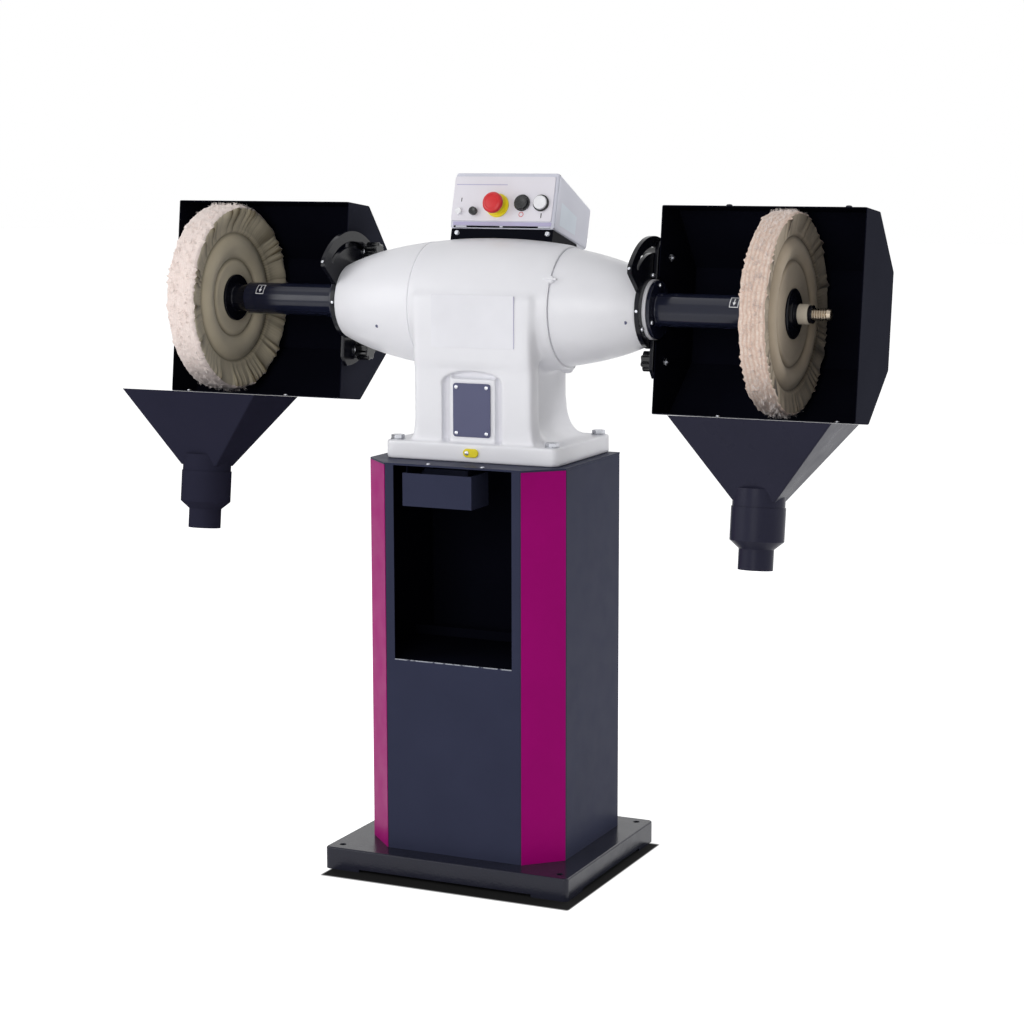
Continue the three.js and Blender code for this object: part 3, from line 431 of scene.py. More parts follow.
class Graph:
    """The nodes of one material, laid round its shader."""

    def __init__(self, name: str) -> None:
        """Starts a material of that name."""
        self.material = bpy.data.materials.new(name)
        self.material.use_nodes = True
        self.tree = self.material.node_tree
        self.shader = self.tree.nodes["Principled BSDF"]
        self.position = self.tree.nodes.new("ShaderNodeTexCoord").outputs["Object"]

    def feed(self, socket: Socket, value: object) -> None:
        """Links a socket to another one, or sets its value."""
        if isinstance(value, Socket):
            self.tree.links.new(value, socket)
        else:
            socket.default_value = value

    def dial(self, name: str, value: object) -> None:
        """Links or sets one of the shader's own sockets."""
        self.feed(self.shader.inputs[name], value)

    def node(
        self, kind: str, inputs: dict[str | int, object], **settings: object
    ) -> bpy.types.Node:
        """Adds a node.

        Args:
            kind: The node's type, without its prefix.
            inputs: Values or sockets for its inputs, by name or number.
            **settings: The node's own settings.

        Returns:
            The node.
        """
        made = self.tree.nodes.new(f"ShaderNode{kind}")
        for name, value in settings.items():
            setattr(made, name, value)
        for key, value in inputs.items():
            self.feed(made.inputs[key], value)
        return made

    def stretched(self, *scale: float) -> Socket:
        """Gives the position with each axis scaled."""
        return self.node("Mapping", {"Vector": self.position, "Scale": scale}).outputs[0]

    def noise(
        self,
        size: float,
        detail: float = 2,
        roughness: float = 0.5,
        position: Socket | None = None,
    ) -> Socket:
        """Gives a noise whose lumps are about a size in millimetres."""
        inputs = {
            "Vector": position or self.position,
            "Scale": 1 / (size * MM),
            "Detail": detail,
            "Roughness": roughness,
        }
        return self.node("TexNoise", inputs).outputs[0]

    def spread(
        self,
        value: Socket,
        source: Point,
        target: Point = (0, 1),
    ) -> Socket:
        """Maps a value from one range to another, and holds it there."""
        inputs = {
            "Value": value,
            "From Min": source[0],
            "From Max": source[1],
            "To Min": target[0],
            "To Max": target[1],
        }
        return self.node("MapRange", inputs).outputs[0]

    def mixed(self, share: Socket, first: object, second: object) -> Socket:
        """Mixes two colours."""
        return self.node("Mix", {0: share, 6: first, 7: second}, data_type="RGBA").outputs[2]

    def reckon(self, operation: str, *values: object) -> Socket:
        """Works out a sum of one or more values."""
        return self.node("Math", dict(enumerate(values)), operation=operation).outputs[0]

    def axis(self, letter: str) -> Socket:
        """Gives the position along one axis."""
        return self.node("SeparateXYZ", {0: self.position}).outputs[letter]

    def relief(self, *layers: tuple[Socket, float, float]) -> None:
        """Lays bumps over each other on the surface.

        Args:
            *layers: The height, the strength, and the depth in millimetres of each bump.
        """
        normal = None
        for height, strength, depth in layers:
            inputs = {"Height": height, "Strength": strength, "Distance": depth * MM}
            if normal is not None:
                inputs["Normal"] = normal
            normal = self.node("Bump", inputs).outputs[0]
        self.dial("Normal", normal)


@dataclass(frozen=True)
class Finish:
    """What a surface is made of, with the record's slot that it belongs to."""

    name: str
    slot: str
    colour: Colour
    roughness: float

    def material(self) -> bpy.types.Material:
        """Gives the finish's material, made on its first use."""
        known = bpy.data.materials.get(self.name)
        if known is not None:
            return known
        graph = Graph(self.name)
        self.dress(graph)
        return graph.material

    def dress(self, graph: Graph) -> None:
        """Lays the material's nodes."""
        raise NotImplementedError

    def tint(self, graph: Graph, share: Socket, darker: float, lighter: float) -> None:
        """Lets the base colour drift between a darker and a lighter tone of itself."""
        colour = graph.mixed(share, linear(self.colour, darker), linear(self.colour, lighter))
        graph.dial("Base Color", colour)

    def polish(self, graph: Graph, share: Socket, drift: float) -> None:
        """Lets the roughness drift about its value."""
        low, high = self.roughness - drift, self.roughness + drift
        graph.dial("Roughness", graph.spread(share, (0.3, 0.7), (low, high)))


@dataclass(frozen=True)
class Paint(Finish):
    """Sprayed or powder paint on sheet steel, with its fine orange peel."""

    peel: float = 2.2
    peel_depth: float = 0.05
    specular: float = 0.5
    worn_sill: float | None = None
    worn_half_width: float = 133

    def dress(self, graph: Graph) -> None:
        """Lays the paint, with a worn line along the sill where it has one."""
        broad = graph.noise(140, 3)
        self.tint(graph, broad, 0.88, 1.12)
        self.polish(graph, graph.noise(45, 3), 0.05)
        graph.dial("Specular IOR Level", self.specular)
        graph.relief(
            (graph.noise(self.peel, 2), 0.5, self.peel_depth),
            (graph.noise(28, 2), 0.3, self.peel_depth),
        )
        if self.worn_sill is not None:
            self.wear(graph)

    def wear(self, graph: Graph) -> None:
        """Rubs the paint thin along the front edge of the sill."""
        off_edge = graph.reckon(
            "ABSOLUTE", graph.reckon("SUBTRACT", graph.axis("Z"), self.worn_sill * MM)
        )
        height = graph.spread(off_edge, (0.8 * MM, 2.4 * MM), (1, 0))
        reach = graph.reckon("ABSOLUTE", graph.axis("X"))
        inside = graph.reckon("LESS_THAN", reach, self.worn_half_width * MM)
        inside = graph.reckon("MULTIPLY", inside, graph.reckon("LESS_THAN", graph.axis("Y"), 0))
        patchy = graph.spread(graph.noise(9, 3), (0.36, 0.5))
        share = graph.reckon("MULTIPLY", graph.reckon("MULTIPLY", height, inside), patchy)
        base = graph.shader.inputs["Base Color"]
        painted = base.links[0].from_socket
        graph.feed(base, graph.mixed(share, painted, linear((176, 180, 190))))


@dataclass(frozen=True)
class CastPaint(Finish):
    """Thick enamel over a sand casting, which keeps its soft lumps."""

    lump: float = 16
    lump_depth: float = 0.35
    grain: float = 2.6
    grain_depth: float = 0.16

    def dress(self, graph: Graph) -> None:
        """Lays the enamel over the casting's skin."""
        self.tint(graph, graph.noise(90, 3), 0.96, 1.03)
        self.polish(graph, graph.noise(20, 3), 0.07)
        graph.relief(
            (graph.noise(self.lump, 3), 0.5, self.lump_depth),
            (graph.noise(self.grain, 3, 0.6), 0.6, self.grain_depth),
        )


@dataclass(frozen=True)
class Metal(Finish):
    """Machined steel, or varnished copper, with fine turning marks."""

    grain: Triple = (1, 1, 1)

    def dress(self, graph: Graph) -> None:
        """Lays the metal with its fine marks."""
        marks = graph.noise(1.2, 3, 0.6, graph.stretched(*self.grain))
        self.tint(graph, marks, 0.8, 1.15)
        self.polish(graph, graph.noise(12, 3), 0.08)
        graph.dial("Metallic", 1)
        graph.relief((marks, 0.35, 0.03))


@dataclass(frozen=True)
class Plastic(Finish):
    """Moulded plastic with a faint texture."""

    def dress(self, graph: Graph) -> None:
        """Lays the plastic."""
        self.tint(graph, graph.noise(10, 2), 0.92, 1.06)
        self.polish(graph, graph.noise(3, 2), 0.05)
        graph.relief((graph.noise(0.6, 2), 0.3, 0.02))


@dataclass(frozen=True)
class CottonFace(Finish):
    """Woven cotton cloth on the side of a wheel, gathered in pleats."""

    # Colour of the painted shade in folds and seams.
    shade: Colour = (92, 80, 56)
    weave: float = 1.1

    def dress(self, graph: Graph) -> None:
        """Lays the weave, with painted shade where the cloth is folded in and along its seams."""
        # The points' painted fold shade darkens the cloth.
        folds = graph.node("Attribute", {}, attribute_name=FOLD_SHADE_ATTRIBUTE).outputs["Fac"]
        drift = graph.spread(graph.noise(60, 2), (0.3, 0.7), (0, 0.12))
        share = graph.spread(graph.reckon("ADD", folds, drift), (0, 1))
        cloth = graph.mixed(share, linear(self.colour), linear(self.shade))
        graph.dial("Base Color", cloth)
        self.polish(graph, graph.noise(8, 2), 0.04)
        graph.dial("Specular IOR Level", 0.12)
        graph.dial("Sheen Weight", 0.25)
        graph.dial("Sheen Roughness", 0.6)
        threads = graph.noise(self.weave, 2, 0.5, graph.stretched(1, 0.25, 1))
        others = graph.noise(self.weave, 2, 0.5, graph.stretched(1, 1, 0.25))
        graph.relief(
            (graph.noise(7, 2), 0.3, 0.3),
            (graph.reckon("MAXIMUM", threads, others), 0.6, 0.2),
        )


@dataclass(frozen=True)
class CottonTread(Finish):
    """The worn rim of a wheel: frayed cloth edges, ply beside ply."""

    shade: Colour = (188, 160, 146)
    ply: float = 5.2
    contrast: float = 1

    def dress(self, graph: Graph) -> None:
        """Lays the plies as wandering lines across the rim, under frayed thread."""
        wander = graph.spread(graph.noise(26, 3), (0.3, 0.7), (-2.6 * MM, 2.6 * MM))
        across = graph.reckon("ADD", graph.axis("X"), wander)
        wave = graph.reckon("SINE", graph.reckon("MULTIPLY", across, math.tau / (self.ply * MM)))
        plies = graph.spread(wave, (-1, 0.4))
        fray = graph.noise(2.4, 4, 0.7, graph.stretched(0.45, 1, 1))
        tufts = graph.noise(9, 3, 0.6)
        light = graph.reckon("MULTIPLY", plies, graph.spread(fray, (0.3, 0.6)))
        marked = graph.reckon("MULTIPLY", light, graph.spread(tufts, (0.3, 0.6), (0.45, 1)))
        share = graph.spread(marked, (0, 1), (1 - self.contrast, 1))
        graph.dial("Base Color", graph.mixed(share, linear(self.shade), linear(self.colour)))
        self.polish(graph, tufts, 0.03)
        graph.dial("Specular IOR Level", 0.1)
        graph.dial("Sheen Weight", 0.35)
        graph.dial("Sheen Roughness", 0.7)
        graph.relief((tufts, 0.6, 2), (fray, 0.8, 1), (plies, 0.6 * self.contrast, 0.8))


ANTHRACITE = Paint("anthracite paint", "anthracite_paint", (52, 55, 75), 0.36, specular=0.025)
SILL_ANTHRACITE = replace(ANTHRACITE, name="anthracite paint with a worn sill", worn_sill=452)
BASE_ANTHRACITE = replace(
    ANTHRACITE,
    name="hammered anthracite paint",
    colour=(38, 39, 51),
    roughness=0.2,
    specular=0.22,
    peel=4.2,
    peel_depth=0.7,
)
HOOD_PAINT = Paint("hood anthracite paint", "anthracite_paint", (46, 47, 56), 0.3, specular=0)
# Near-black paint for the insides of the column and the hoods, the shelf and the tray rails:
# painted shade.
INSIDE_SHADE_PAINT = Paint("painted_inside_shade paint", "anthracite_paint", (16, 17, 27), 0.3, specular=0)
# The left funnel's paint, without the right one's reflection, so that it looks shaded by the
# machine: painted shade.
SHADED_FUNNEL_PAINT = Paint("painted_shade anthracite paint", "anthracite_paint", (42, 42, 57), 0.4, specular=0)
FUNNEL_PAINT = Paint(
    "funnel anthracite paint", "anthracite_paint", (42, 42, 57), 0.3, specular=0.06
)
MAGENTA = Paint(
    "magenta paint", "magenta_paint", (156, 0, 109), 0.46, specular=0.075, peel_depth=0.003
)
CREAM = CastPaint("cream enamel", "cream_paint", (236, 236, 241), 0.36)
SLATE = Paint("slate paint", "slate_paint", (90, 92, 120), 0.42, specular=0.2)
BLACK = Paint("black paint", "black_paint", (15, 16, 24), 0.2, specular=0.2, peel_depth=0.03)
TUBE_PAINT = Paint(
    "tube paint", "black_paint", (26, 29, 46), 0.15, specular=0.3, peel=6, peel_depth=0.06
)
CRADLE_BLACK = Paint("cradle paint", "black_paint", (9, 10, 18), 0.4, specular=0.02)
BOX_GREY = Paint("box grey paint", "box_paint", (208, 209, 221), 0.4, peel_depth=0.04)
PANEL_GREY = Paint("panel grey paint", "box_paint", (226, 223, 231), 0.4, peel_depth=0.03)
LEDGE_GREY = Paint("ledge lavender paint", "box_paint", (178, 172, 204), 0.4, peel_depth=0.04)
LABEL_WHITE = Paint("blank side label", "white_plastic", (216, 224, 234), 0.5, peel_depth=0.01)
PAD_GREY = Paint("name pad paint", "cream_paint", (234, 234, 240), 0.42, peel_depth=0.04)
STEEL = Metal("bright steel", "bright_steel", (186, 188, 194), 0.3)
DARK_SCREW = Metal("blackened screw", "black_paint", (44, 44, 50), 0.4)
TURNED_STEEL = Metal("turned steel", "bright_steel", (168, 156, 140), 0.3, grain=(4, 0.4, 0.4))
COPPER = Metal("winding copper", "winding_copper", (150, 92, 56), 0.42)
COTTON = CottonFace("cotton face", "cotton", (212, 200, 174), 0.9)
# The right wheel's face, darker where its hood shades it: painted shade.
HOOD_SHADED_COTTON = CottonFace("painted_hood_shade cotton face", "cotton", (184, 168, 146), 0.9, shade=(66, 54, 42))
TREAD = CottonTread(
    "soft cotton tread", "cotton", (250, 236, 230), 0.95, shade=(236, 214, 206), contrast=0.45
)
PLY_TREAD = CottonTread(
    "plied cotton tread",
    "cotton",
    (244, 228, 216),
    0.95,
    shade=(212, 176, 156),
    ply=8.5,
    contrast=0.75,
)
THREADS = CottonFace("loose cotton thread", "cotton", (250, 242, 238), 0.9, shade=(236, 220, 214))
BLACK_PLASTIC = Plastic("black plastic", "black_plastic", (16, 17, 20), 0.26)
GRIP_PLASTIC = Plastic("grip plastic", "black_plastic", (12, 13, 16), 0.14)
RED_PLASTIC = Plastic("red plastic", "red_plastic", (206, 22, 30), 0.36)
YELLOW_PLASTIC = Plastic("yellow plastic", "yellow_plastic", (232, 214, 14), 0.4)
WHITE_PLASTIC = Plastic("white plastic", "white_plastic", (238, 238, 242), 0.3)
PALE_SLEEVE = Plastic("pale sleeve", "bright_steel", (206, 196, 180), 0.5)


@dataclass
class Assembly:
    """What the sub-assemblies share: they turn shapes into finished pieces."""

    def piece(
        self,
        name: str,
        shape: Shape,
        finish: Finish,
        place: Matrix,
        body: str = "pedestal",
        replaces: Sequence[str] = (),
        crease: float = 35,
        flat: bool = True,
    ) -> bpy.types.Object:
        """Finishes a piece and fixes it to its body.

        Args:
            name: The piece's name.
            shape: Its shape in the sub-assembly's frame.
            finish: Its finish.
            place: The sub-assembly's frame.
            body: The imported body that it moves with.
            replaces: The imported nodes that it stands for.
            crease: Edges that turn by more than this many degrees stay sharp.
            flat: True keeps broad faces looking flat beside their rounded edges.

        Returns:
            The finished object.
        """
        shape.moved(Matrix.Scale(MM, 4) @ place)
        data = bpy.data.meshes.new(name)
        shape.mesh.to_mesh(data)
        shape.mesh.free()
        data.shade_smooth()
        data.set_sharp_from_angle(angle=math.radians(crease))
        data.materials.append(finish.material())
        made = bpy.data.objects.new(name, data)
        bpy.context.scene.collection.objects.link(made)
        if flat:
            made.modifiers.new("Flat faces", "WEIGHTED_NORMAL").keep_sharp = True
        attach(made, body)
        if replaces:
            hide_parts(*replaces)
        LOG.info("%s: %d faces on %s", name, len(data.polygons), body)
        return made

    def line(self, shell: bpy.types.Object, middle: Vector) -> None:
        """Gives the inside of a sheet box, the faces that look at its middle, a darker finish:
        painted shade.
        """
        shell.data.materials.append(INSIDE_SHADE_PAINT.material())
        for face in shell.data.polygons:
            face.material_index = int((face.center - middle * MM).dot(face.normal) < 0)

    def repaint(self, finish: Finish, *nodes: str) -> None:
        """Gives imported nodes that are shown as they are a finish."""
        for node in nodes:
            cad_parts[node].data.materials.clear()
            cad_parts[node].data.materials.append(finish.material())
            LOG.info("%s: repainted", node)


def pan_screw(axis: Axis, radius: float, height: float, face: float, at: Point) -> Shape:
    """Makes the domed head of a screw with a cross slot.

    Args:
        axis: The axis that it looks along, towards its lower values.
        radius: Radius of the head.
        height: Height of the head.
        face: Where the face under the head is.
        at: Where the screw stands on that face.

    Returns:
        The head.
    """
    dome = [(radius, face), (radius, face - height * 0.35), (radius * 0.86, face - height * 0.75)]
    dome += [(radius * 0.5, face - height * 0.96), (0, face - height), (0, face)]
    return Shape.turned(axis, dome, at, 24)


def hex_bolt(
    axis: Axis, radius: float, height: float, face: float, at: Point, out: int = 1
) -> Shape:
    """Makes a hexagon head with its corners taken off, on a thin washer."""
    washer = Shape.rod(axis, radius * 1.02, *sorted((face, face + out * height * 0.22)), at, 40)
    start, end = sorted((face + out * height * 0.22, face + out * height * 1.22))
    head = Shape.rod(axis, radius * 0.94, start, end, at, 6).soften(height * 0.1, 2)
    return washer.soften(height * 0.06, 1).beside(head)


@dataclass
class Pedestal(Assembly):
    """The base tray, the folded column with its shelf and hanging tray, and the top plate."""

    base_width: float = 554
    base_depth: float = 467
    base_height: float = 47
    base_sheet: float = 3
    base_corner: float = 10
    base_setback: float = 8.5
    base_edge: float = 4
    foot_length: float = 80
    foot_lift: float = 6
    anchor_inset: float = 28
    anchor_radius: float = 7
    column_width: float = 444
    column_depth: float = 351
    chamfer: float = 68
    strip_recess: float = 2.12
    column_sheet: float = 2.5
    fold: float = 3
    column_top: float = 855
    plate_sheet: float = 4
    opening_width: float = 266
    sill: float = 452
    plate_screws: tuple[Point, ...] = ((-57.9, -164.5), (63.6, -164.5))

    def plan(self, chamfer: float) -> list[Point]:
        """Draws the column's plan, with its front corners cut off."""
        x, y = self.column_width / 2, self.column_depth / 2
        return [
            (-x, y),
            (-x, chamfer - y),
            (chamfer - x, -y),
            (x - chamfer, -y),
            (x, chamfer - y),
            (x, y),
        ]

    def base(self) -> Shape:
        """Makes the folded base with its raised edges and anchor holes."""
        depth, width, sheet = self.base_depth / 2, self.base_width / 2, self.base_sheet
        at = (0, self.base_setback)
        tray = Shape.prism(
            Axis.Z, rounded(2 * width, 2 * depth, self.base_corner, at), 0, self.base_height
        )
        tray.soften(self.base_edge, 4, where=lambda middle, _: middle.z > self.base_height - 1)
        hollow = rounded(2 * (width - sheet), 2 * (depth - sheet), self.base_corner - sheet, at)
        tray.carve(Shape.prism(Axis.Z, hollow, -sheet, self.base_height - sheet))
        past, span_x, span_y = 20, width - self.foot_length, depth - self.foot_length
        low, high = self.base_setback - depth - past, self.base_setback + depth + past
        tray.carve(Shape.block((-span_x, low, -past), (span_x, high, self.foot_lift)))
        low, high = self.base_setback - span_y, self.base_setback + span_y
        tray.carve(Shape.block((-width - past, low, -past), (width + past, high, self.foot_lift)))
        for x in (-1, 1):
            for y in (-1, 1):
                hole = (
                    x * (width - self.anchor_inset),
                    self.base_setback + y * (depth - self.anchor_inset),
                )
                tray.carve(
                    Shape.rod(Axis.Z, self.anchor_radius, 0, self.base_height + past, hole, 32)
                )
        return tray

    def column(self) -> Shape:
        """Makes the folded column, open at the front above the sill."""
        chamfer = self.chamfer + self.strip_recess
        walls = Shape.prism(Axis.Z, self.plan(chamfer), self.base_height, self.column_top)
        walls.open_towards(Vector((0, 0, 1))).open_towards(Vector((0, 0, -1)))
        walls.soften(self.fold, 4).walled(self.column_sheet)
        half, front = self.opening_width / 2, -self.column_depth / 2
        opening = Shape.block(
            (-half, front - 20, self.sill), (half, front + 20, self.column_top + 20)
        )
        return walls.carve(opening)

    def build(self) -> None:
        """Builds and paints the pedestal."""
        self.piece("base", self.base(), BASE_ANTHRACITE, STAND, replaces=["base_tray"])
        shell = self.piece(
            "column", self.column(), SILL_ANTHRACITE, STAND, replaces=["column_shell"]
        )
        # The column's inside faces take the near-black paint: painted shade.
        self.line(shell, STAND @ Vector((0, 0, self.column_top / 2)))
        plate = Shape.prism(
            Axis.Z, self.plan(self.chamfer), self.column_top, self.column_top + self.plate_sheet
        )
        self.piece(
            "column_top_plate", plate.soften(0.9, 2), ANTHRACITE, STAND, replaces=["top_plate"]
        )
        tray = Shape.of_node("tray", STAND).soften(0.4, 1, 60)
        self.piece("hanging_tray_box", tray, ANTHRACITE, STAND, "hanging_tray", ["tray"])
        self.repaint(MAGENTA, "trim_strip_left", "trim_strip_right")
        # The shelf and the tray rails inside the column take the near-black paint: painted shade.
        self.repaint(INSIDE_SHADE_PAINT, "shelf_plate", "tray_rail_left", "tray_rail_right")
        face = self.column_top + self.plate_sheet
        screws = Shape()
        for across, back in self.plate_screws:
            screws.beside(pan_screw(Axis.Z, 4.5, -2.6, face, (across, back)))
        self.piece("top_plate_screws", screws, STEEL, STAND)


@dataclass
class MotorCasting(Assembly):
    """The motor's casting with its end bells, cover plate, bolts and name pad."""

    radius: float = 138
    half_length: float = 412
    seam_left: float = -141
    seam_right: float = 170
    seam_steps: Point = (0.2, 4.5)
    seam_gap: float = 0.3
    bore: float = 115
    bell_wall: float = 8
    bell_face: float = 340
    neck_radius: float = 61
    neck_end: float = 356
    bearing_radius: float = 36
    bearing_start: float = 297
    bearing_end: float = 320
    shaft_clearance: float = 19
    foot_width: float = 390
    foot_depth: float = 284
    foot_shift: float = -2
    foot_top: float = -274
    foot_bottom: float = -312
    face_reach: float = 139
    face_width: float = 268
    face_top: float = 30
    pad_bottom: float = -116
    neck_front: float = 133
    neck_join: float = 87
    neck_back: float = 102
    neck_width: float = 224
    neck_flare: float = 344
    face_flare: float = 288
    flare_start: float = -190
    niche_width: float = 136
    niche_top: float = -126
    niche_arch: float = 24
    niche_back: float = -115
    overlap: float = 10
    far: float = 300
    fine_sides: int = 128
    barrel_steps: int = 24
    foot_corner: float = 16
    neck_overlap: float = 5
    arch_steps: int = 8
    seat_half: float = 51
    seat_front: float = -130
    seat_top: float = -142
    lug_radius: float = 13
    lug_span: Point = (-141, -100)
    lug_at: Point = (152 - CASTING_SHIFT, 25)
    voxel: float = 3.4
    smoothing: int = 6
    blend_rounds: int = 34
    niche_rim: float = 8
    niche_behind: float = -100
    foot_rim: float = 5
    cut_past: float = 50
    cut_bottom: float = -160
    groove_depth: float = 3
    groove_reach: Point = (2, 5)
    pocket: tuple[Triple, Triple] = ((-90, -82, -330), (90, 90, -150))
    seam_round: float = 2.5
    cover_width: float = 84
    cover_height: float = 110
    cover_middle: float = -206
    cover_front: float = -133.3
    cover_sheet: float = 3
    screw_inset: float = 8
    bolt_inset: Point = (20, 22)
    bolt_radius: float = 15
    bolt_head: float = 8
    shank_radius: float = 8
    shank_length: float = 51
    pad_size: Point = (186, 108)
    pad_middle: Point = (5.5, -24.4)
    # Where the dark strip along the name pad's right edge lies: painted shade.
    pad_edge: tuple[Point, Point] = ((97.4, 98.5), (-77, 28))
    earth_across: float = 11
    earth_drop: float = 18
    earth_size: Point = (34, 18)
    earth_sheet: float = 4
    grub_radius: float = 3.6
    grubs: tuple[Point, Point] = ((222.6, -21.8), (321.4, -15.6))
    plug_turn: float = -30
    plug_along: float = 171

    def reach(self, along: float) -> float:
        """Gives the radius of the casting's outline at a place along the shaft."""
        return self.radius * math.sqrt(1 - (along / self.half_length) ** 2)

    def curve(self, start: float, end: float, steps: int, inset: float = 0) -> list[Point]:
        """Draws the casting's outline between two places along the shaft."""
        places = [start + (end - start) * step / steps for step in range(steps + 1)]
        return [(self.reach(along) - inset, along) for along in places]

    def flare(self, width: float, foot: float, top: float) -> list[Point]:
        """Draws straight sides that sweep out to the foot."""
        side = []
        for step in range(11):
            share = step / 10
            across = width / 2 + (foot - width) / 2 * share**2
            rise = self.flare_start + (self.foot_top - self.flare_start) * (2 * share - share**2)
            side.append((across, rise))
        right = [(width / 2, top), *side]
        return right + [(-across, rise) for across, rise in reversed(right)]

    def forms(self) -> Shape:
        """Joins the barrel, foot, name face, neck and lug, and cuts the niche out of them."""
        ends = (self.seam_left - self.overlap, self.seam_right + self.overlap)
        barrel = [(0, ends[0]), *self.curve(*ends, self.barrel_steps), (0, ends[1])]
        body = Shape.turned(Axis.X, barrel, sides=self.fine_sides).moved(UNSHIFTED)
        foot = rounded(self.foot_width, self.foot_depth, self.foot_corner, (0, self.foot_shift))
        face = self.flare(self.face_width, self.face_flare, self.face_top)
        neck = self.flare(self.neck_width, self.neck_flare, 0)
        half, front, join = self.face_width / 2, -self.neck_front, -self.neck_join
        low, high = (-half, -self.face_reach, self.pad_bottom), (half, front + 1, self.face_top)
        for form in (
            Shape.prism(Axis.Z, foot, self.foot_bottom, self.foot_top),
            Shape.prism(Axis.Y, face, front, join),
            Shape.block(low, high),
            Shape.prism(Axis.Y, neck, join - self.neck_overlap, self.neck_back),
        ):
            body.carve(form, Carving.JOIN)
        half = self.niche_width / 2
        arch = [(half, self.foot_top), (half, self.niche_top - self.niche_arch)]
        for step in range(self.arch_steps + 1):
            angle = math.pi * step / self.arch_steps
            rise = self.niche_top - self.niche_arch * (1 - math.sin(angle))
            arch.append((half * math.cos(angle), rise))
        arch += [(-half, self.foot_top)]
        body.carve(Shape.prism(Axis.Y, arch, -self.face_reach - self.overlap, self.niche_back))
        low = (-self.seat_half, self.seat_front, self.foot_top - 2)
        seat = Shape.block(low, (self.seat_half, self.niche_back + 2, self.seat_top))
        lug = Shape.rod(Axis.Z, self.lug_radius, *self.lug_span, self.lug_at)
        return body.carve(seat, Carving.JOIN).carve(lug, Carving.JOIN)

    def housing(self) -> Shape:
        """Makes the casting in one, with the soft corners that sand leaves."""
        body = self.forms()
        body.refine("REMESH", mode="VOXEL", voxel_size=self.voxel, use_smooth_shade=True)
        body.refine("SMOOTH", factor=0.5, iterations=self.smoothing)
        self.blend(body)
        past = self.overlap + self.cut_past
        for start, end in (
            (self.seam_left - past, self.seam_left), (self.seam_right, self.seam_right + past)
        ):
            low, high = (start, -self.far, self.cut_bottom), (end, self.far, self.far)
            body.carve(Shape.block(low, high).moved(UNSHIFTED))
        depth, (lead, tail) = self.groove_depth, self.groove_reach
        for seam, way in ((self.seam_left, 1), (self.seam_right, -1)):
            reach, start = self.reach(seam), seam - lead * way
            ring = [
                (reach + depth, start), (reach + depth, seam + tail * way), (reach - depth, start)
            ]
            body.carve(Shape.turned(Axis.X, ring, hollow=True).moved(UNSHIFTED))
        body.carve(Shape.rod(Axis.X, self.bore, -self.far, self.far, sides=96))
        return body.carve(Shape.block(*self.pocket))

    def blend(self, body: Shape) -> None:
        """Lets the casting's forms flow into each other, but not its foot and its niche."""
        chosen = []
        for corner in body.mesh.verts:
            across, depth, rise = corner.co
            beside = abs(across) < self.niche_width / 2 + self.niche_rim
            low = rise < self.niche_top + self.niche_rim
            in_niche = beside and low and depth < self.niche_behind
            if rise > self.foot_top + self.foot_rim and not in_niche:
                chosen.append(corner)
        axes = {f"use_axis_{letter}": True for letter in "xyz"}
        for _ in range(self.blend_rounds):
            bmesh.ops.smooth_vert(body.mesh, verts=chosen, factor=0.5, **axes)

    def bell(self, seam: float, step: float) -> Shape:
        """Makes a hollow end bell, from its seam to the ring at its neck, set in by a step."""
        start, edge = seam + self.seam_gap, self.seam_round
        inside = self.curve(start, self.bearing_start, 12, step + self.bell_wall)
        profile = [
            (self.reach(start) - step - edge, start),
            (self.reach(start) - step - edge * 0.3, start + edge * 0.3),
            *self.curve(start + edge, self.bell_face, 28, step),
            (self.neck_radius, self.bell_face),
            (self.neck_radius, self.neck_end),
            (self.shaft_clearance, self.neck_end),
            (self.shaft_clearance, self.bearing_end),
            (self.bearing_radius, self.bearing_end),
            (self.bearing_radius, self.bearing_start),
            *reversed(inside),
        ]
        return Shape.turned(Axis.X, profile, sides=128, hollow=True).soften(1, 2)

    def cover(self) -> Shape:
        """Makes the cover plate with its round corners and pressed rim."""
        sheet = rounded(self.cover_width, self.cover_height, 6, (0, self.cover_middle))
        back = self.cover_front + self.cover_sheet
        return Shape.prism(Axis.Y, sheet, self.cover_front, back).soften(0.8, 2)

    def build(self) -> None:
        """Builds and paints the casting."""
        self.piece(
            "motor_casting",
            self.housing(),
            CREAM,
            CASTING,
            replaces=["motor_housing"],
            crease=50,
            flat=False,
        )
        for side, seam, step in zip(Side, (-self.seam_left, self.seam_right), self.seam_steps):
            node = f"end_bell_{side.label}"
            self.piece(
                f"bell_{side.label}", self.bell(seam, step), CREAM, side.head, replaces=[node]
            )
        self.piece("niche_cover", self.cover(), SLATE, CASTING, replaces=["cover_plate"])
        screws, inset = Shape(), self.screw_inset
        for x in (-1, 1):
            for z in (-1, 1):
                up = self.cover_middle + z * (self.cover_height / 2 - inset)
                at = (x * (self.cover_width / 2 - inset), up)
                screws.beside(pan_screw(Axis.Y, 4.2, 2.6, self.cover_front, at))
        self.piece("cover_screws", screws, STEEL, CASTING)
        self.foot_bolts()
        front = -self.face_reach
        pad = Shape.prism(
            Axis.Y, rounded(*self.pad_size, 3, self.pad_middle), front - 1.2, front + 1
        )
        self.piece("name_pad", pad.soften(0.5, 2), PAD_GREY, CASTING)
        # A dark strip along the name pad's right edge: painted shade.
        (left, right), (low, high) = self.pad_edge
        edge = Shape.block((left, front - 1.5, low), (right, front - 0.5, high))
        self.piece("name_pad_edge", edge, LEDGE_GREY, CASTING)
        self.earth_pad()
        self.small_screws()
        self.repaint(COPPER, "stator")
        self.repaint(
            STEEL, "bearing_left", "bearing_right", "tube_bearing_left", "tube_bearing_right"
        )

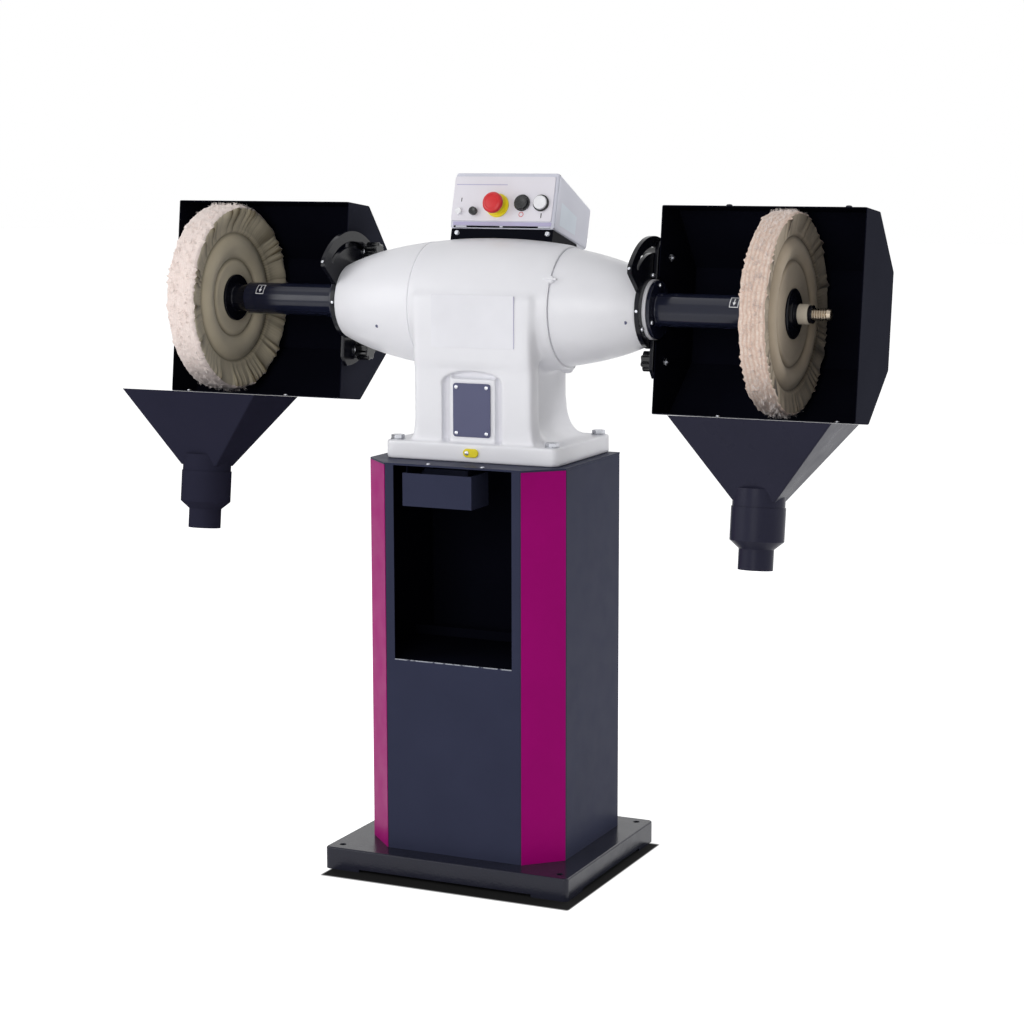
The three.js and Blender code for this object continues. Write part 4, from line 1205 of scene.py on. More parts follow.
    def foot_bolts(self) -> None:
        """Builds the hexagon bolts through the foot."""
        inset, depth = self.bolt_inset[0], self.foot_depth / 2 - self.bolt_inset[1]
        low, high = self.foot_top - self.shank_length, self.foot_top + 1
        for name, x in (("left", -1), ("right", 1)):
            for row, y in (("front", -1), ("back", 1)):
                at = (x * (self.foot_width / 2 - inset), self.foot_shift + y * depth)
                bolt = hex_bolt(Axis.Z, self.bolt_radius, self.bolt_head, self.foot_top, at)
                bolt.beside(Shape.rod(Axis.Z, self.shank_radius, low, high, at, 32))
                word = f"bolt_{row}_{name}"
                self.piece(f"hex_{word}", bolt, STEEL, CASTING, replaces=[f"foot_{word}"])

    def earth_pad(self) -> None:
        """Builds the yellow earth pad with its screw."""
        front = self.foot_shift - self.foot_depth / 2
        face = front - self.earth_sheet
        at = (self.earth_across - CASTING_SHIFT, self.foot_top - self.earth_drop)
        pad = Shape.prism(Axis.Y, rounded(*self.earth_size, 8.9, at, 10), face, front)
        self.piece(
            "earth_pad", pad.soften(1, 3), YELLOW_PLASTIC, CASTING, replaces=["earth_terminal"]
        )
        screw = pan_screw(Axis.Y, 4.5, 2.2, face, (at[0] - 8, at[1]))
        self.piece("earth_screw", screw, STEEL, CASTING)

    def small_screws(self) -> None:
        """Builds the grub screws of the bells and the ribbed plug at the right seam."""
        for side, (along, angle), step in zip(Side, self.grubs, self.seam_steps):
            turn = Matrix.Rotation(math.radians(-angle), 4, "X")
            out = step - self.reach(along)
            screw = Shape.rod(Axis.Y, self.grub_radius, out - 0.5, out + 6, (along, 0), 24)
            self.piece(f"bell_screw_{side.label}", screw.soften(0.4, 2), SLATE, side.head @ turn)
        face = -self.reach(self.seam_right)
        dome = [(0, 5 + face), (8, 5 + face), (8, face), (6.4, face - 1.8), (0, face - 2.4)]
        plug = Shape.turned(Axis.Y, dome, (self.plug_along, 0), 32)
        rib = rounded(30, 5, 2.4, (self.plug_along, face - 1))
        plug.beside(Shape.prism(Axis.Z, rib, -2, 2).soften(1.2, 2))
        turn = Matrix.Rotation(math.radians(self.plug_turn), 4, "X")
        self.piece("seam_plug", plug, CREAM, HEAD @ turn)


@dataclass
class WheelPlaces:
    """Where one wheel and its clamping parts stand along the shaft."""

    inner: float
    thickness: float = 52
    hub: float = 38
    gap: float = 0.3
    dish: float = 13
    sleeve: float = 29
    thread: float = 36

    @property
    def middle(self) -> float:
        """The wheel's middle."""
        return self.inner + self.thickness / 2

    @property
    def hub_inner(self) -> float:
        """The inner face of the stitched hub."""
        return self.middle - self.hub / 2

    @property
    def hub_outer(self) -> float:
        """The outer face of the stitched hub."""
        return self.middle + self.hub / 2

    @property
    def dish_end(self) -> float:
        """The end of the outer flange's boss."""
        return self.hub_outer + self.gap + self.dish

    @property
    def sleeve_end(self) -> float:
        """The end of the sleeve nut."""
        return self.dish_end + self.gap + self.sleeve

    @property
    def tip(self) -> float:
        """The end of the thread."""
        return self.sleeve_end + self.thread


@dataclass(frozen=True)
class Wear:
    """How one cotton wheel has settled in use.

    Attributes:
        seed: Which folds it gets.
        hub_seam: Radius of the stitching round the hub.
        band_seam: Radius of the stitching beyond it.
        rim_half: How far the tread reaches outwards from the wheel's middle.
        far_half: How far the tread reaches inwards.
        shoulder: Radius where the side rounds into the tread.
        pleats: Number of pleats round the wheel.
        depth: Depth of the pleats at the rim.
        fray: Length of its longest threads.
    """

    seed: int
    hub_seam: float
    band_seam: float
    rim_half: float
    far_half: float
    shoulder: float
    pleats: int
    depth: float
    fray: float


@dataclass
class Spindle(Assembly):
    """The shaft with its rotor, flanges, nuts and cotton wheels, all turning as one."""

    shaft_radius: float = 15
    thread_radius: float = 12.5
    thread_pitch: float = 5
    thread_depth: float = 2.2
    tube_end: float = 590.4
    flange_radius: float = 50
    flange_sheet: float = 6
    boss_radius: float = 28.2
    dish_radius: float = 27
    sleeve_radius: float = 20
    nut_length: float = 8
    wheel_radius: float = 200
    segments: int = 792
    bore_height: float = 18.6
    hub_height: float = 19.2
    hub_groove: tuple[Point, ...] = (
        (-9, 20), (-5, 18.4), (-2, 15.6), (0, 14.4), (2, 15.6), (6, 19.6)
    )
    bulge: float = 7.6
    bulge_steps: int = 11
    band_groove: tuple[Point, ...] = (
        (-6, 19.6),
        (-2, 16.4),
        (0, 15.4),
        (2, 16.6),
        (4, 19),
        (7, 21.6),
    )
    pleat_steps: int = 12
    shoulder_steps: int = 8
    sway_middle: float = 170
    pleat_rise: float = 0.8
    pleat_fall: float = 0.2
    rest_crest: float = 0.7
    flutes: int = 144
    flute_length: float = 15
    tread_row: float = 4
    tufts: int = 620
    threads_in_tuft: int = 14
    thread_width: float = 0.34
    thread_limit: float = 206.5
    wears: dict[Side, Wear] = field(
        default_factory=lambda: {
            Side.LEFT: Wear(3, 84, 139, 29, 34.5, 192, 46, 9, 14),
            Side.RIGHT: Wear(8, 105, 151, 27, 23, 196, 40, 7, 16),
        }
    )
    places: dict[Side, WheelPlaces] = field(
        default_factory=lambda: {Side.LEFT: WheelPlaces(623), Side.RIGHT: WheelPlaces(599)}
    )

    def threaded(self, start: float, tip: float) -> list[Point]:
        """Draws the thread's ridges from its start to the tip."""
        low = self.thread_radius - self.thread_depth
        points = [(self.thread_radius, start)]
        turns = int((tip - start - 3) / self.thread_pitch)
        for turn in range(turns):
            along = start + turn * self.thread_pitch
            points += [
                (low, along + self.thread_pitch * 0.45),
                (self.thread_radius, along + self.thread_pitch),
            ]
        return [*points, (low, tip), (0, tip)]

    def shaft(self) -> Shape:
        """Makes the shaft with its two threaded ends."""
        left, right = self.places[Side.LEFT], self.places[Side.RIGHT]
        start = [
            (radius, -along)
            for radius, along in reversed(self.threaded(left.sleeve_end - 6, left.tip))
        ]
        start += [(self.thread_radius, -left.dish_end), (self.shaft_radius, -left.dish_end)]
        end = [(self.shaft_radius, right.dish_end), (self.thread_radius, right.dish_end)]
        return Shape.turned(
            Axis.X, [*start, *end, *self.threaded(right.sleeve_end - 6, right.tip)], sides=48
        )

    def flanges(self, side: Side) -> None:
        """Builds the two flanges and the sleeve nut of one side."""
        places = self.places[side]
        clear, bore = self.shaft_radius + places.gap, self.thread_radius + places.gap
        back, face = places.hub_inner - places.gap, places.hub_outer + places.gap
        wide, boss, root = self.flange_radius, self.boss_radius, back - self.flange_sheet
        dish, tip, end = self.dish_radius, places.dish_end, places.sleeve_end
        pale, start, seam = self.sleeve_radius, tip + places.gap, end - self.nut_length
        inner = [(clear, back), (wide, back), (wide, root), (boss + 3, root), (boss, root - 2)]
        inner += [(boss, self.tube_end), (clear, self.tube_end)]
        outer = [(clear, face), (wide, face), (wide, face + 3.4), (wide - 2.4, face + 5)]
        outer += [(wide - 7, face + 4.4), (dish + 8, face + 2.4), (dish + 1, face + 4)]
        outer += [(dish, face + 6), (dish, tip - 7), (dish - 5, tip - 6), (dish - 5, tip - 3.4)]
        outer += [(dish - 8.5, tip - 2.8), (dish - 8.5, tip), (clear, tip)]
        sleeve = [(bore, start), (pale, start), (pale, seam), (bore, seam)]
        nut = [(bore, seam), (pale - 2, seam), (pale - 2, end), (bore, end)]
        for name, profile, edge, finish, nodes in (
            ("flange_inner", inner, 0.9, BLACK, ["inner_flange"]),
            ("flange_outer", outer, 0.6, BLACK, ["outer_flange"]),
            ("sleeve", sleeve, 1, PALE_SLEEVE, ["sleeve_nut"]),
            ("nut_ring", nut, 1, BLACK, []),
        ):
            shape = Shape.turned(Axis.X, profile, hollow=True).soften(edge, 2)
            replaced = [f"{node}_{side.label}" for node in nodes]
            self.piece(f"{name}_{side.label}", shape, finish, side.head, "spindle", replaced)

    def face_rows(self, wear: Wear, rim_half: float) -> list[Point]:
        """Draws one side of a wheel from its bore to the tread, as radius and height."""
        hub, band, shoulder = wear.hub_seam, wear.band_seam, wear.shoulder
        rows = [(self.shaft_radius + 0.4, self.bore_height)]
        rows += [(radius, self.hub_height) for radius in range(22, int(hub) - 9, 6)]
        rows += [(hub + off, height) for off, height in self.hub_groove]
        (start, low), (end, _) = self.hub_groove[-1], self.band_groove[0]
        for step in range(1, self.bulge_steps):
            share = step / self.bulge_steps
            rise = self.bulge * math.sin(math.pi * share) ** 0.8
            rows.append((hub + start + (band - hub - start + end) * share, low + rise))
        rows += [(band + off, height) for off, height in self.band_groove]
        start, low = self.band_groove[-1]
        for step in range(1, self.pleat_steps):
            share = step / self.pleat_steps
            ease = share * share * (3 - 2 * share)
            rows.append(
                (band + start + (shoulder - band - start) * share, low + (rim_half - low) * ease)
            )
        reach = self.wheel_radius - shoulder
        for step in range(self.shoulder_steps + 1):
            turn = math.radians(90 * step / self.shoulder_steps)
            rows.append(
                (shoulder + reach * math.sin(turn), rim_half - reach * (1 - math.cos(turn)))
            )
        return rows

    def crest(self, wear: Wear, angle: float, radius: float) -> Point:
        """Gives how high a pleat stands somewhere, from 0 to 1, and how strong it is."""
        there = Vector((math.cos(angle) * 3, math.sin(angle) * 3, wear.seed * 7.3))
        sway = noise.noise(there)
        strength = 0.8 + 1.5 * noise.noise(there * 1.7)
        turn = wear.pleats * angle / math.tau + 1.9 * sway + (radius - self.sway_middle) * 0.004
        share = turn - math.floor(turn)
        rise = share / self.pleat_rise if share < self.pleat_rise else (1 - share) / self.pleat_fall
        return rise**0.8, max(0.2, strength)

    def wheel(self, wear: Wear) -> Shape:
        """Makes one cotton wheel about its own middle, with its pleats, seams, scalloped rim and
        painted fold shade.
        """
        face, back = self.face_rows(wear, wear.rim_half), self.face_rows(wear, wear.far_half)
        start, end = face[-1][1], -back[-1][1]
        rows = max(3, round((start - end) / self.tread_row))
        reach = self.wheel_radius
        tread = [(reach, start + (end - start) * step / rows) for step in range(1, rows)]
        other = [(radius, -height) for radius, height in reversed(back)]
        shape = Shape.turned(Axis.X, face + tread + other, sides=self.segments, hollow=True)
        # Each point keeps its painted shade for the face's material.
        folds = shape.mesh.verts.layers.float.new(FOLD_SHADE_ATTRIBUTE)
        for corner in shape.mesh.verts:
            corner[folds] = self.fold(corner, wear)
        return shape

    def fold(self, corner: bmesh.types.BMVert, wear: Wear) -> float:
        """Moves one point of a wheel into its pleats, and works out its painted shade.

        Args:
            corner: The point.
            wear: How the wheel has settled.

        Returns:
            How deep the point lies in a fold or seam, from 0 to 1, used as painted shade.
        """
        x, y, z = corner.co
        radius, angle = math.hypot(y, z), math.atan2(z, y)
        past_hub, past_band = radius - wear.hub_seam, radius - wear.band_seam
        crest, strength = self.crest(wear, angle, radius)
        facing = min(1.0, abs(x) / (wear.rim_half if x > 0 else wear.far_half))
        outer = (past_band - 3) / (wear.shoulder - wear.band_seam - 3)
        outer = min(1.0, max(0.0, outer))
        flutes = math.sin(self.flutes * angle + 3 * crest)
        beyond = math.exp(-max(0.0, past_band) / self.flute_length) * (past_band > 0)
        before = math.exp(-((past_band / 6) ** 2)) + math.exp(-((past_hub / 5) ** 2))
        lift = outer**0.8 * wear.depth * strength * (crest - self.rest_crest)
        lift += (1.2 * beyond + 0.4 * before) * flutes * (past_hub > -9)
        lumps = noise.noise(Vector((wear.seed, y * 0.02, z * 0.02)))
        lift += 1.6 * lumps * min(1.0, max(0.0, (radius - 60) / 30))
        corner.co.x = x + math.copysign(lift * facing**2, x)
        frayed = 1.6 * noise.noise(Vector((x * 0.11, y * 0.09, z * 0.09 + wear.seed)))
        frayed += 1.3 * noise.noise(Vector((x * 0.3, y * 0.34, z * 0.34 - wear.seed)))
        start = wear.shoulder - 4
        edge = max(0.0, (radius - start) / (self.wheel_radius - start))
        scallop = 2.4 * (crest - self.rest_crest) * facing**9
        scale = 1 + edge * (scallop + frayed - 1) / radius
        corner.co.y, corner.co.z = y * scale, z * scale
        # Painted shade in the seam grooves, the pleat creases and the flutes.
        seams = 0.6 * sum(math.exp(-((past / 2.6) ** 2)) for past in (past_hub, past_band))
        crease_shade = max(0.0, 1 - 1.4 * crest) * outer**0.4 * strength
        return min(1.0, seams + crease_shade + max(0.0, -flutes) * 0.35 * beyond)

    def tuft(self, chance: random.Random, longest: float, half: float) -> Shape:
        """Makes one tuft of loose threads on a wheel's rim.

        Args:
            chance: Where its numbers come from.
            longest: Length of the longest thread.
            half: Half the width that the tufts stand on.

        Returns:
            The tuft.
        """
        shape = Shape()
        foot = self.wheel_radius - 3
        angle, across = chance.uniform(0, math.tau), half * (1 - 2 * chance.random())
        length = longest * chance.uniform(0.3, 1) ** 1.5
        lean = Vector((chance.gauss(0, 0.3), chance.gauss(0, 0.55), 1))
        for _ in range(self.threads_in_tuft):
            way = (lean + Vector((chance.gauss(0, 0.2), chance.gauss(0, 0.2), 0))).normalized()
            reach = min(
                length * chance.uniform(0.6, 1), (self.thread_limit - foot) / max(way.z, 0.3)
            )
            place = Matrix.Rotation(-angle - chance.gauss(0, 0.012), 4, "X")
            place = place @ Matrix.Translation((across + chance.gauss(0, 1.2), 0, foot))
            place = place @ way.to_track_quat("Z", "Y").to_matrix().to_4x4() @ Matrix.Translation(
                (0, 0, reach / 2)
            )
            bmesh.ops.create_cone(
                shape.mesh,
                cap_ends=True,
                cap_tris=False,
                segments=3,
                radius1=self.thread_width,
                radius2=self.thread_width / 8,
                depth=reach,
                matrix=place,
            )
        return shape

    def frayed(self, wear: Wear) -> Shape:
        """Makes all the loose threads of one wheel."""
        chance = random.Random(wear.seed)
        shape = Shape()
        for _ in range(self.tufts):
            shape.beside(self.tuft(chance, wear.fray, (wear.rim_half + wear.far_half) / 2 - 5))
        return shape

    def cotton(self, side: Side) -> None:
        """Builds one side's wheel, its tread in another finish, and its loose threads."""
        place = side.head @ Matrix.Translation((self.places[side].middle, 0, 0))
        wear = self.wears[side]
        node = f"buffing_wheel_{side.label}"
        # The right wheel's face takes the darker cotton: painted shade from its hood.
        face, tread = (COTTON, TREAD) if side is Side.LEFT else (HOOD_SHADED_COTTON, PLY_TREAD)
        wheel = self.piece(
            f"wheel_{side.label}", self.wheel(wear), face, place, "spindle", [node], 80, flat=False
        )
        wheel.data.materials.append(tread.material())
        axis = place.translation * MM
        for face in wheel.data.polygons:
            away = face.center - axis
            reach = math.hypot(away.y, away.z) / MM
            crest, strength = self.crest(wear, math.atan2(away.z, away.y), wear.shoulder)
            border = wear.shoulder + 1.5 + 4 * strength * (0.7 - crest) + noise.noise(
                face.center / MM * 0.3
            )
            face.material_index = int(reach > min(border, self.wheel_radius - 5.5))
        fray = self.frayed(wear).moved(
            Matrix.Translation(((wear.rim_half - wear.far_half) / 2, 0, 0))
        )
        self.piece(f"fray_{side.label}", fray, THREADS, place, "spindle")

    def build(self) -> None:
        """Builds the spindle."""
        self.piece("spindle_shaft", self.shaft(), TURNED_STEEL, HEAD, "spindle", ["shaft"])
        self.repaint(STEEL, "rotor_core")
        for side in Side:
            self.flanges(side)
            self.cotton(side)


@dataclass
class SideGear(Assembly):
    """What each end carries: the bracket, tube, swivel plate, hood, funnel and clamp knobs."""

    bracket_inner: float = 340
    bracket_outer: float = 349
    ring: float = 79
    neck: float = 61
    fan_back: float = 148
    fan_front: float = 147
    fan_start: float = 43
    fan_end: float = 146
    fan_corner: float = 7
    slot_radius: float = 120
    slot_half: float = 6
    slot_start: float = 57
    slot_end: float = 132
    tube_radius: float = 33.7
    tube_bore: float = 28.7
    tube_start: float = 356
    tube_end: float = 590
    tube_flange: float = 59
    hood_inner: float = 358
    hood_outer: float = 783
    hood_high: float = 210
    hood_deep: float = 211
    hood_shoulder: float = 93
    hood_back: float = 100
    sheet: float = 2
    notch: float = 66
    swivel: float = 139
    swivel_start: float = 349.7
    swivel_end: float = 357.7
    funnel_middle: float = 626
    funnel_width: float = 330
    funnel_depth: float = 183
    funnel_top: float = -210.3
    funnel_bottom: float = -366.3
    outlet_width: float = 88
    outlet_depth: float = 70
    outlet_middle: float = -92
    pipe_radius: float = 51.5
    pipe_top: float = -342.3
    pipe_bottom: float = -392.3
    slot_stud: Point = (52.85, 107.73)
    lower_stud: Point = (50, -103)
    grip_length: float = 30
    grip_radius: float = 21.5
    grip_lobes: int = 7
    collar: float = 53.3
    collar_bore: float = 51.8
    spigot: float = 34.5
    spigot_bore: float = 31.5
    reducer_levels: tuple[float, float, float, float] = (-378.3, -444.3, -460.3, -501.3)
    past: float = 5
    neck_angle: float = 94
    label_size: Point = (19, 24)
    label_line: float = 1.3
    label_skin: Point = (0.05, 0.35)
    label_turn: float = 40
    label_places: Point = (550, 532)
    bolt_turns: Triple = (88, 208, 328)
    screw_places: Point = (497, 743)

    def bracket(self) -> Shape:
        """Makes the bracket: a ring with a fan above it that holds the arc slot."""
        start, end = self.bracket_inner, self.bracket_outer
        shape = Shape.rod(Axis.X, self.ring, start, end, sides=128)
        fan = arc(self.fan_back, self.fan_start, self.fan_end - 5, 28, self.fan_front)
        for radius, angle in (
            (self.fan_front - self.fan_corner, self.fan_end),
            (self.ring - 1, self.fan_end + 5),
            (self.neck + 8, self.neck_angle),
            (self.ring - 1, self.fan_start - 5),
        ):
            fan += arc(radius, angle, angle, 1)[:1]
        shape.carve(Shape.prism(Axis.X, fan, start, end), Carving.JOIN)
        far, near = self.slot_radius + self.slot_half, self.slot_radius - self.slot_half
        slot = arc(far, self.slot_start, self.slot_end, 24)
        slot += self.slot_round(self.slot_end, 0)
        slot += arc(near, self.slot_end, self.slot_start, 24)
        slot += self.slot_round(self.slot_start, math.pi)
        start, end = start - self.past, end + self.past
        shape.carve(Shape.prism(Axis.X, slot, start, end))
        shape.carve(Shape.rod(Axis.X, self.neck + 0.3, start, end, sides=96))
        return shape.soften(1.2, 2, 40)

    def slot_round(self, angle: float, first: float) -> list[Point]:
        """Draws a round end of the slot, without its first and last point."""
        turn = math.radians(angle)
        points = []
        for step in range(1, 8):
            spin = turn + first + math.pi * step / 8
            across = self.slot_radius * math.cos(turn) + self.slot_half * math.cos(spin)
            rise = self.slot_radius * math.sin(turn) + self.slot_half * math.sin(spin)
            points.append((across, rise))
        return points

    def tube(self) -> Shape:
        """Makes the spindle tube with its bolted flange."""
        bore, radius, start, end = self.tube_bore, self.tube_radius, self.tube_start, self.tube_end
        profile = [(bore, start), (self.tube_flange, start), (self.tube_flange, start + 8)]
        profile += [(radius + 2, start + 8), (radius, start + 10), (radius, end), (bore, end)]
        return Shape.turned(Axis.X, profile, hollow=True).soften(1, 3)

    def swivel_plate(self) -> Shape:
        """Makes the half disc that turns on the neck and carries the hood."""
        start, end = self.swivel_start, self.swivel_end
        shape = Shape.rod(Axis.X, self.swivel, start, end, sides=128)
        tip = math.sqrt(self.swivel**2 - 64)
        upper = [(-8, tip - 18), (10, tip), (10, 200), (-200, 200)]
        ahead = [(across, -rise) for across, rise in reversed(upper)] + upper
        start, end = start - self.past, end + self.past
        shape.carve(Shape.prism(Axis.X, ahead, start, end))
        shape.carve(Shape.rod(Axis.X, self.neck + 0.4, start, end, sides=96))
        return shape.soften(1, 2, 40)

    def hood(self) -> Shape:
        """Makes the folded hood, open at the front and notched round the tube."""
        high, back, deep = self.hood_high, self.hood_back, self.hood_deep
        upper = [(0, high), (self.hood_shoulder, high), (deep, back)]
        outline = upper + [(across, -rise) for across, rise in reversed(upper)]
        shell = Shape.prism(Axis.X, outline, self.hood_inner, self.hood_outer)
        shell.open_towards(Vector((0, -1, 0))).soften(3, 4).walled(self.sheet)
        start, end = self.hood_inner - 20, self.hood_inner + 20
        return shell.carve(Shape.rod(Axis.X, self.notch, start, end, sides=96))

    def hopper(self, inset: float) -> Shape:
        """Makes the funnel's tapering body as a solid, drawn in by an inset."""
        shape = Shape.block((-0.5, -0.5, 0), (0.5, 0.5, 1))
        for corner in shape.mesh.verts:
            upper = corner.co.z > 0.5
            width = (self.funnel_width if upper else self.outlet_width) - 2 * inset
            depth = (self.funnel_depth if upper else self.outlet_depth) - 2 * inset
            middle = -self.funnel_depth / 2 if upper else self.outlet_middle
            corner.co.x = self.funnel_middle + corner.co.x * width
            corner.co.y = middle + corner.co.y * depth
            corner.co.z = self.funnel_top if upper else self.funnel_bottom
        return shape

    def funnel(self) -> Shape:
        """Makes the funnel, a folded hopper that ends in a short pipe."""
        at, bottom, top = (self.funnel_middle, self.outlet_middle), self.pipe_bottom, self.pipe_top
        outer = self.hopper(0).soften(3, 3, where=lambda _, way: abs(way.z) > 0.3)
        outer.carve(Shape.rod(Axis.Z, self.pipe_radius, bottom, top, at, 96), Carving.JOIN)
        outer.carve(self.hopper(self.sheet).moved(Matrix.Translation((0, 0, self.sheet / 2))))
        bore = self.pipe_radius - self.sheet
        return outer.carve(Shape.rod(Axis.Z, bore, bottom - self.past, top - self.sheet, at, 96))

    def reducer(self) -> Shape:
        """Makes the collar, taper and hose spigot under the funnel's pipe."""
        top, step, taper, end = self.reducer_levels
        profile = [
            (self.collar, top), (self.collar, step), (self.spigot, taper), (self.spigot, end)
        ]
        profile += [(self.spigot_bore, end), (self.spigot_bore, taper)]
        profile += [(self.collar_bore, step), (self.collar_bore, top)]
        at = (self.funnel_middle, self.outlet_middle)
        return Shape.turned(Axis.Z, profile, at, hollow=True).soften(1.6, 3, 20)

    def grip(self, at: Point, back: float) -> Shape:
        """Makes a lobed clamp grip whose back stands at a place along the shaft."""
        outline = []
        for step in range(96):
            angle = math.tau * step / 96
            radius = self.grip_radius * (0.9 + 0.1 * math.cos(self.grip_lobes * angle))
            outline.append((at[0] + radius * math.cos(angle), at[1] + radius * math.sin(angle)))
        return Shape.prism(Axis.X, outline, back - self.grip_length, back).soften(2.6, 3, 50)

    def clamp(self, side: Side, name: str, at: Point, washer_end: float) -> None:
        """Builds one clamp knob with its washer, stud and nut.

        Args:
            side: Which end of the machine.
            name: The knob's word in its node's name.
            at: Where its stud stands in the hood's frame.
            washer_end: The outer face of its washer along the shaft.
        """
        body = f"{name}_clamp_{side.label}"
        node = f"{name}_knob_{side.label}"
        back = washer_end - 4
        self.piece(
            f"{name}_grip_{side.label}", self.grip(at, back), GRIP_PLASTIC, side.hood, body, [node]
        )
        stud = Shape.rod(Axis.X, 5, back - 2, 370, at, 24)
        washer = Shape.rod(Axis.X, 15.5, back, washer_end, at, 40).soften(0.8, 2)
        nut = Shape.rod(Axis.X, 9, 360.2, 366.5, at, 6).soften(0.8, 2)
        parts = washer.beside(stud, nut)
        self.piece(f"{name}_stud_{side.label}", parts, STEEL, side.hood, body)

    def arrow_label(self) -> Shape:
        """Makes a thin label on the tube: a frame round an arrow for the turning direction."""
        (width, height), line, radius = self.label_size, self.label_line, self.tube_radius
        near, far = self.label_skin
        right, up = width / 2, height / 2
        label = Shape()
        for (left, low), (end, high) in (
            ((-right, -up), (right, line - up)),
            ((-right, up - line), (right, up)),
            ((-right, -up), (line - right, up)),
            ((right - line, -up), (right, up)),
            ((-0.8, -2), (0.8, 8)),
        ):
            label.beside(Shape.block((left, near, low), (end, far, high)))
        label.beside(Shape.prism(Axis.Y, [(-3.6, -1), (3.6, -1), (0, -8)], near, far))
        edges = label.mesh.edges
        bmesh.ops.subdivide_edges(label.mesh, edges=edges, cuts=6, use_grid_fill=True)
        for corner in label.mesh.verts:
            across, off, rise = corner.co
            angle, reach = math.radians(self.label_turn) + rise / radius, radius + off
            corner.co = (across, -reach * math.cos(angle), reach * math.sin(angle))
        return label

    def edge_screws(self) -> Shape:
        """Makes the small set screws in the bracket's front edge."""
        middle = (self.bracket_inner + self.bracket_outer) / 2
        screws = Shape()
        for turn, reach in ((143, self.fan_front), (179, self.ring)):
            screw = pan_screw(Axis.Y, 3, 0.8, -reach, (middle, 0))
            screws.beside(screw.moved(Matrix.Rotation(math.radians(turn - 180), 4, "X")))
        return screws

    def build(self) -> None:
        """Builds both ends."""
        for side in Side:
            self.build_side(side)

    def build_side(self, side: Side) -> None:
        """Builds one end."""
        label, head, hood = side.label, side.head, side.hood
        left = side is Side.LEFT
        body = f"dust_hood_{label}"
        bracket = [f"bracket_{label}"]
        self.piece(f"slotted_bracket_{label}", self.bracket(), BLACK, head, replaces=bracket)
        self.piece(
            f"tube_{label}", self.tube(), TUBE_PAINT, head, replaces=[f"spindle_tube_{label}"]
        )
        along = self.label_places[0 if left else 1]
        arrow = self.arrow_label().moved(Matrix.Translation((along, 0, 0)))
        self.piece(f"arrow_{label}", arrow, WHITE_PLASTIC, head)
        bolts = Shape()
        for turn in self.bolt_turns:
            inner, outer = arc(49, turn, turn, 1)[0], arc(69, turn + 3, turn + 3, 1)[0]
            bolts.beside(pan_screw(Axis.X, 4.6, -3.4, self.tube_start + 8, inner))
            bolts.beside(pan_screw(Axis.X, 4.6, -4, self.bracket_outer, outer))
        self.piece(f"tube_bolts_{label}", bolts, STEEL, head)
        self.piece(f"edge_screws_{label}", self.edge_screws(), STEEL, head)
        # The left funnel and reducer take the paint without reflection: painted shade.
        paint = SHADED_FUNNEL_PAINT if left else FUNNEL_PAINT
        for name, make, finish, node in (
            ("swivel", self.swivel_plate, BLACK, "swivel_plate"),
            ("hood_shell", self.hood, HOOD_PAINT, "hood"),
            ("dust_funnel", self.funnel, paint, "funnel"),
            ("reducer", self.reducer, paint, "pipe_reducer"),
        ):
            made = self.piece(f"{name}_{label}", make(), finish, hood, body, [f"{node}_{label}"])
            # The hood's inside faces take the near-black paint: painted shade.
            if finish is HOOD_PAINT:
                middle = (self.hood_inner + self.hood_outer) / 2
                self.line(made, hood @ Vector((middle, 0, 0)))
        upper, lower = Shape(), Shape()
        for along in self.screw_places:
            upper.beside(pan_screw(Axis.Z, 6.5, -4, self.hood_high, (along, 10)))
            lower.beside(pan_screw(Axis.Z, 5, -3, self.sheet - self.hood_high, (along, 8)))
        if not left:
            self.piece(f"hood_screws_{label}", upper, DARK_SCREW, hood, body)
        self.piece(f"funnel_screws_{label}", lower, STEEL, hood, body)
        self.clamp(side, "slot", self.slot_stud, self.bracket_inner - 0.3)
        self.clamp(side, "lower", self.lower_stud, self.swivel_start - 0.3)


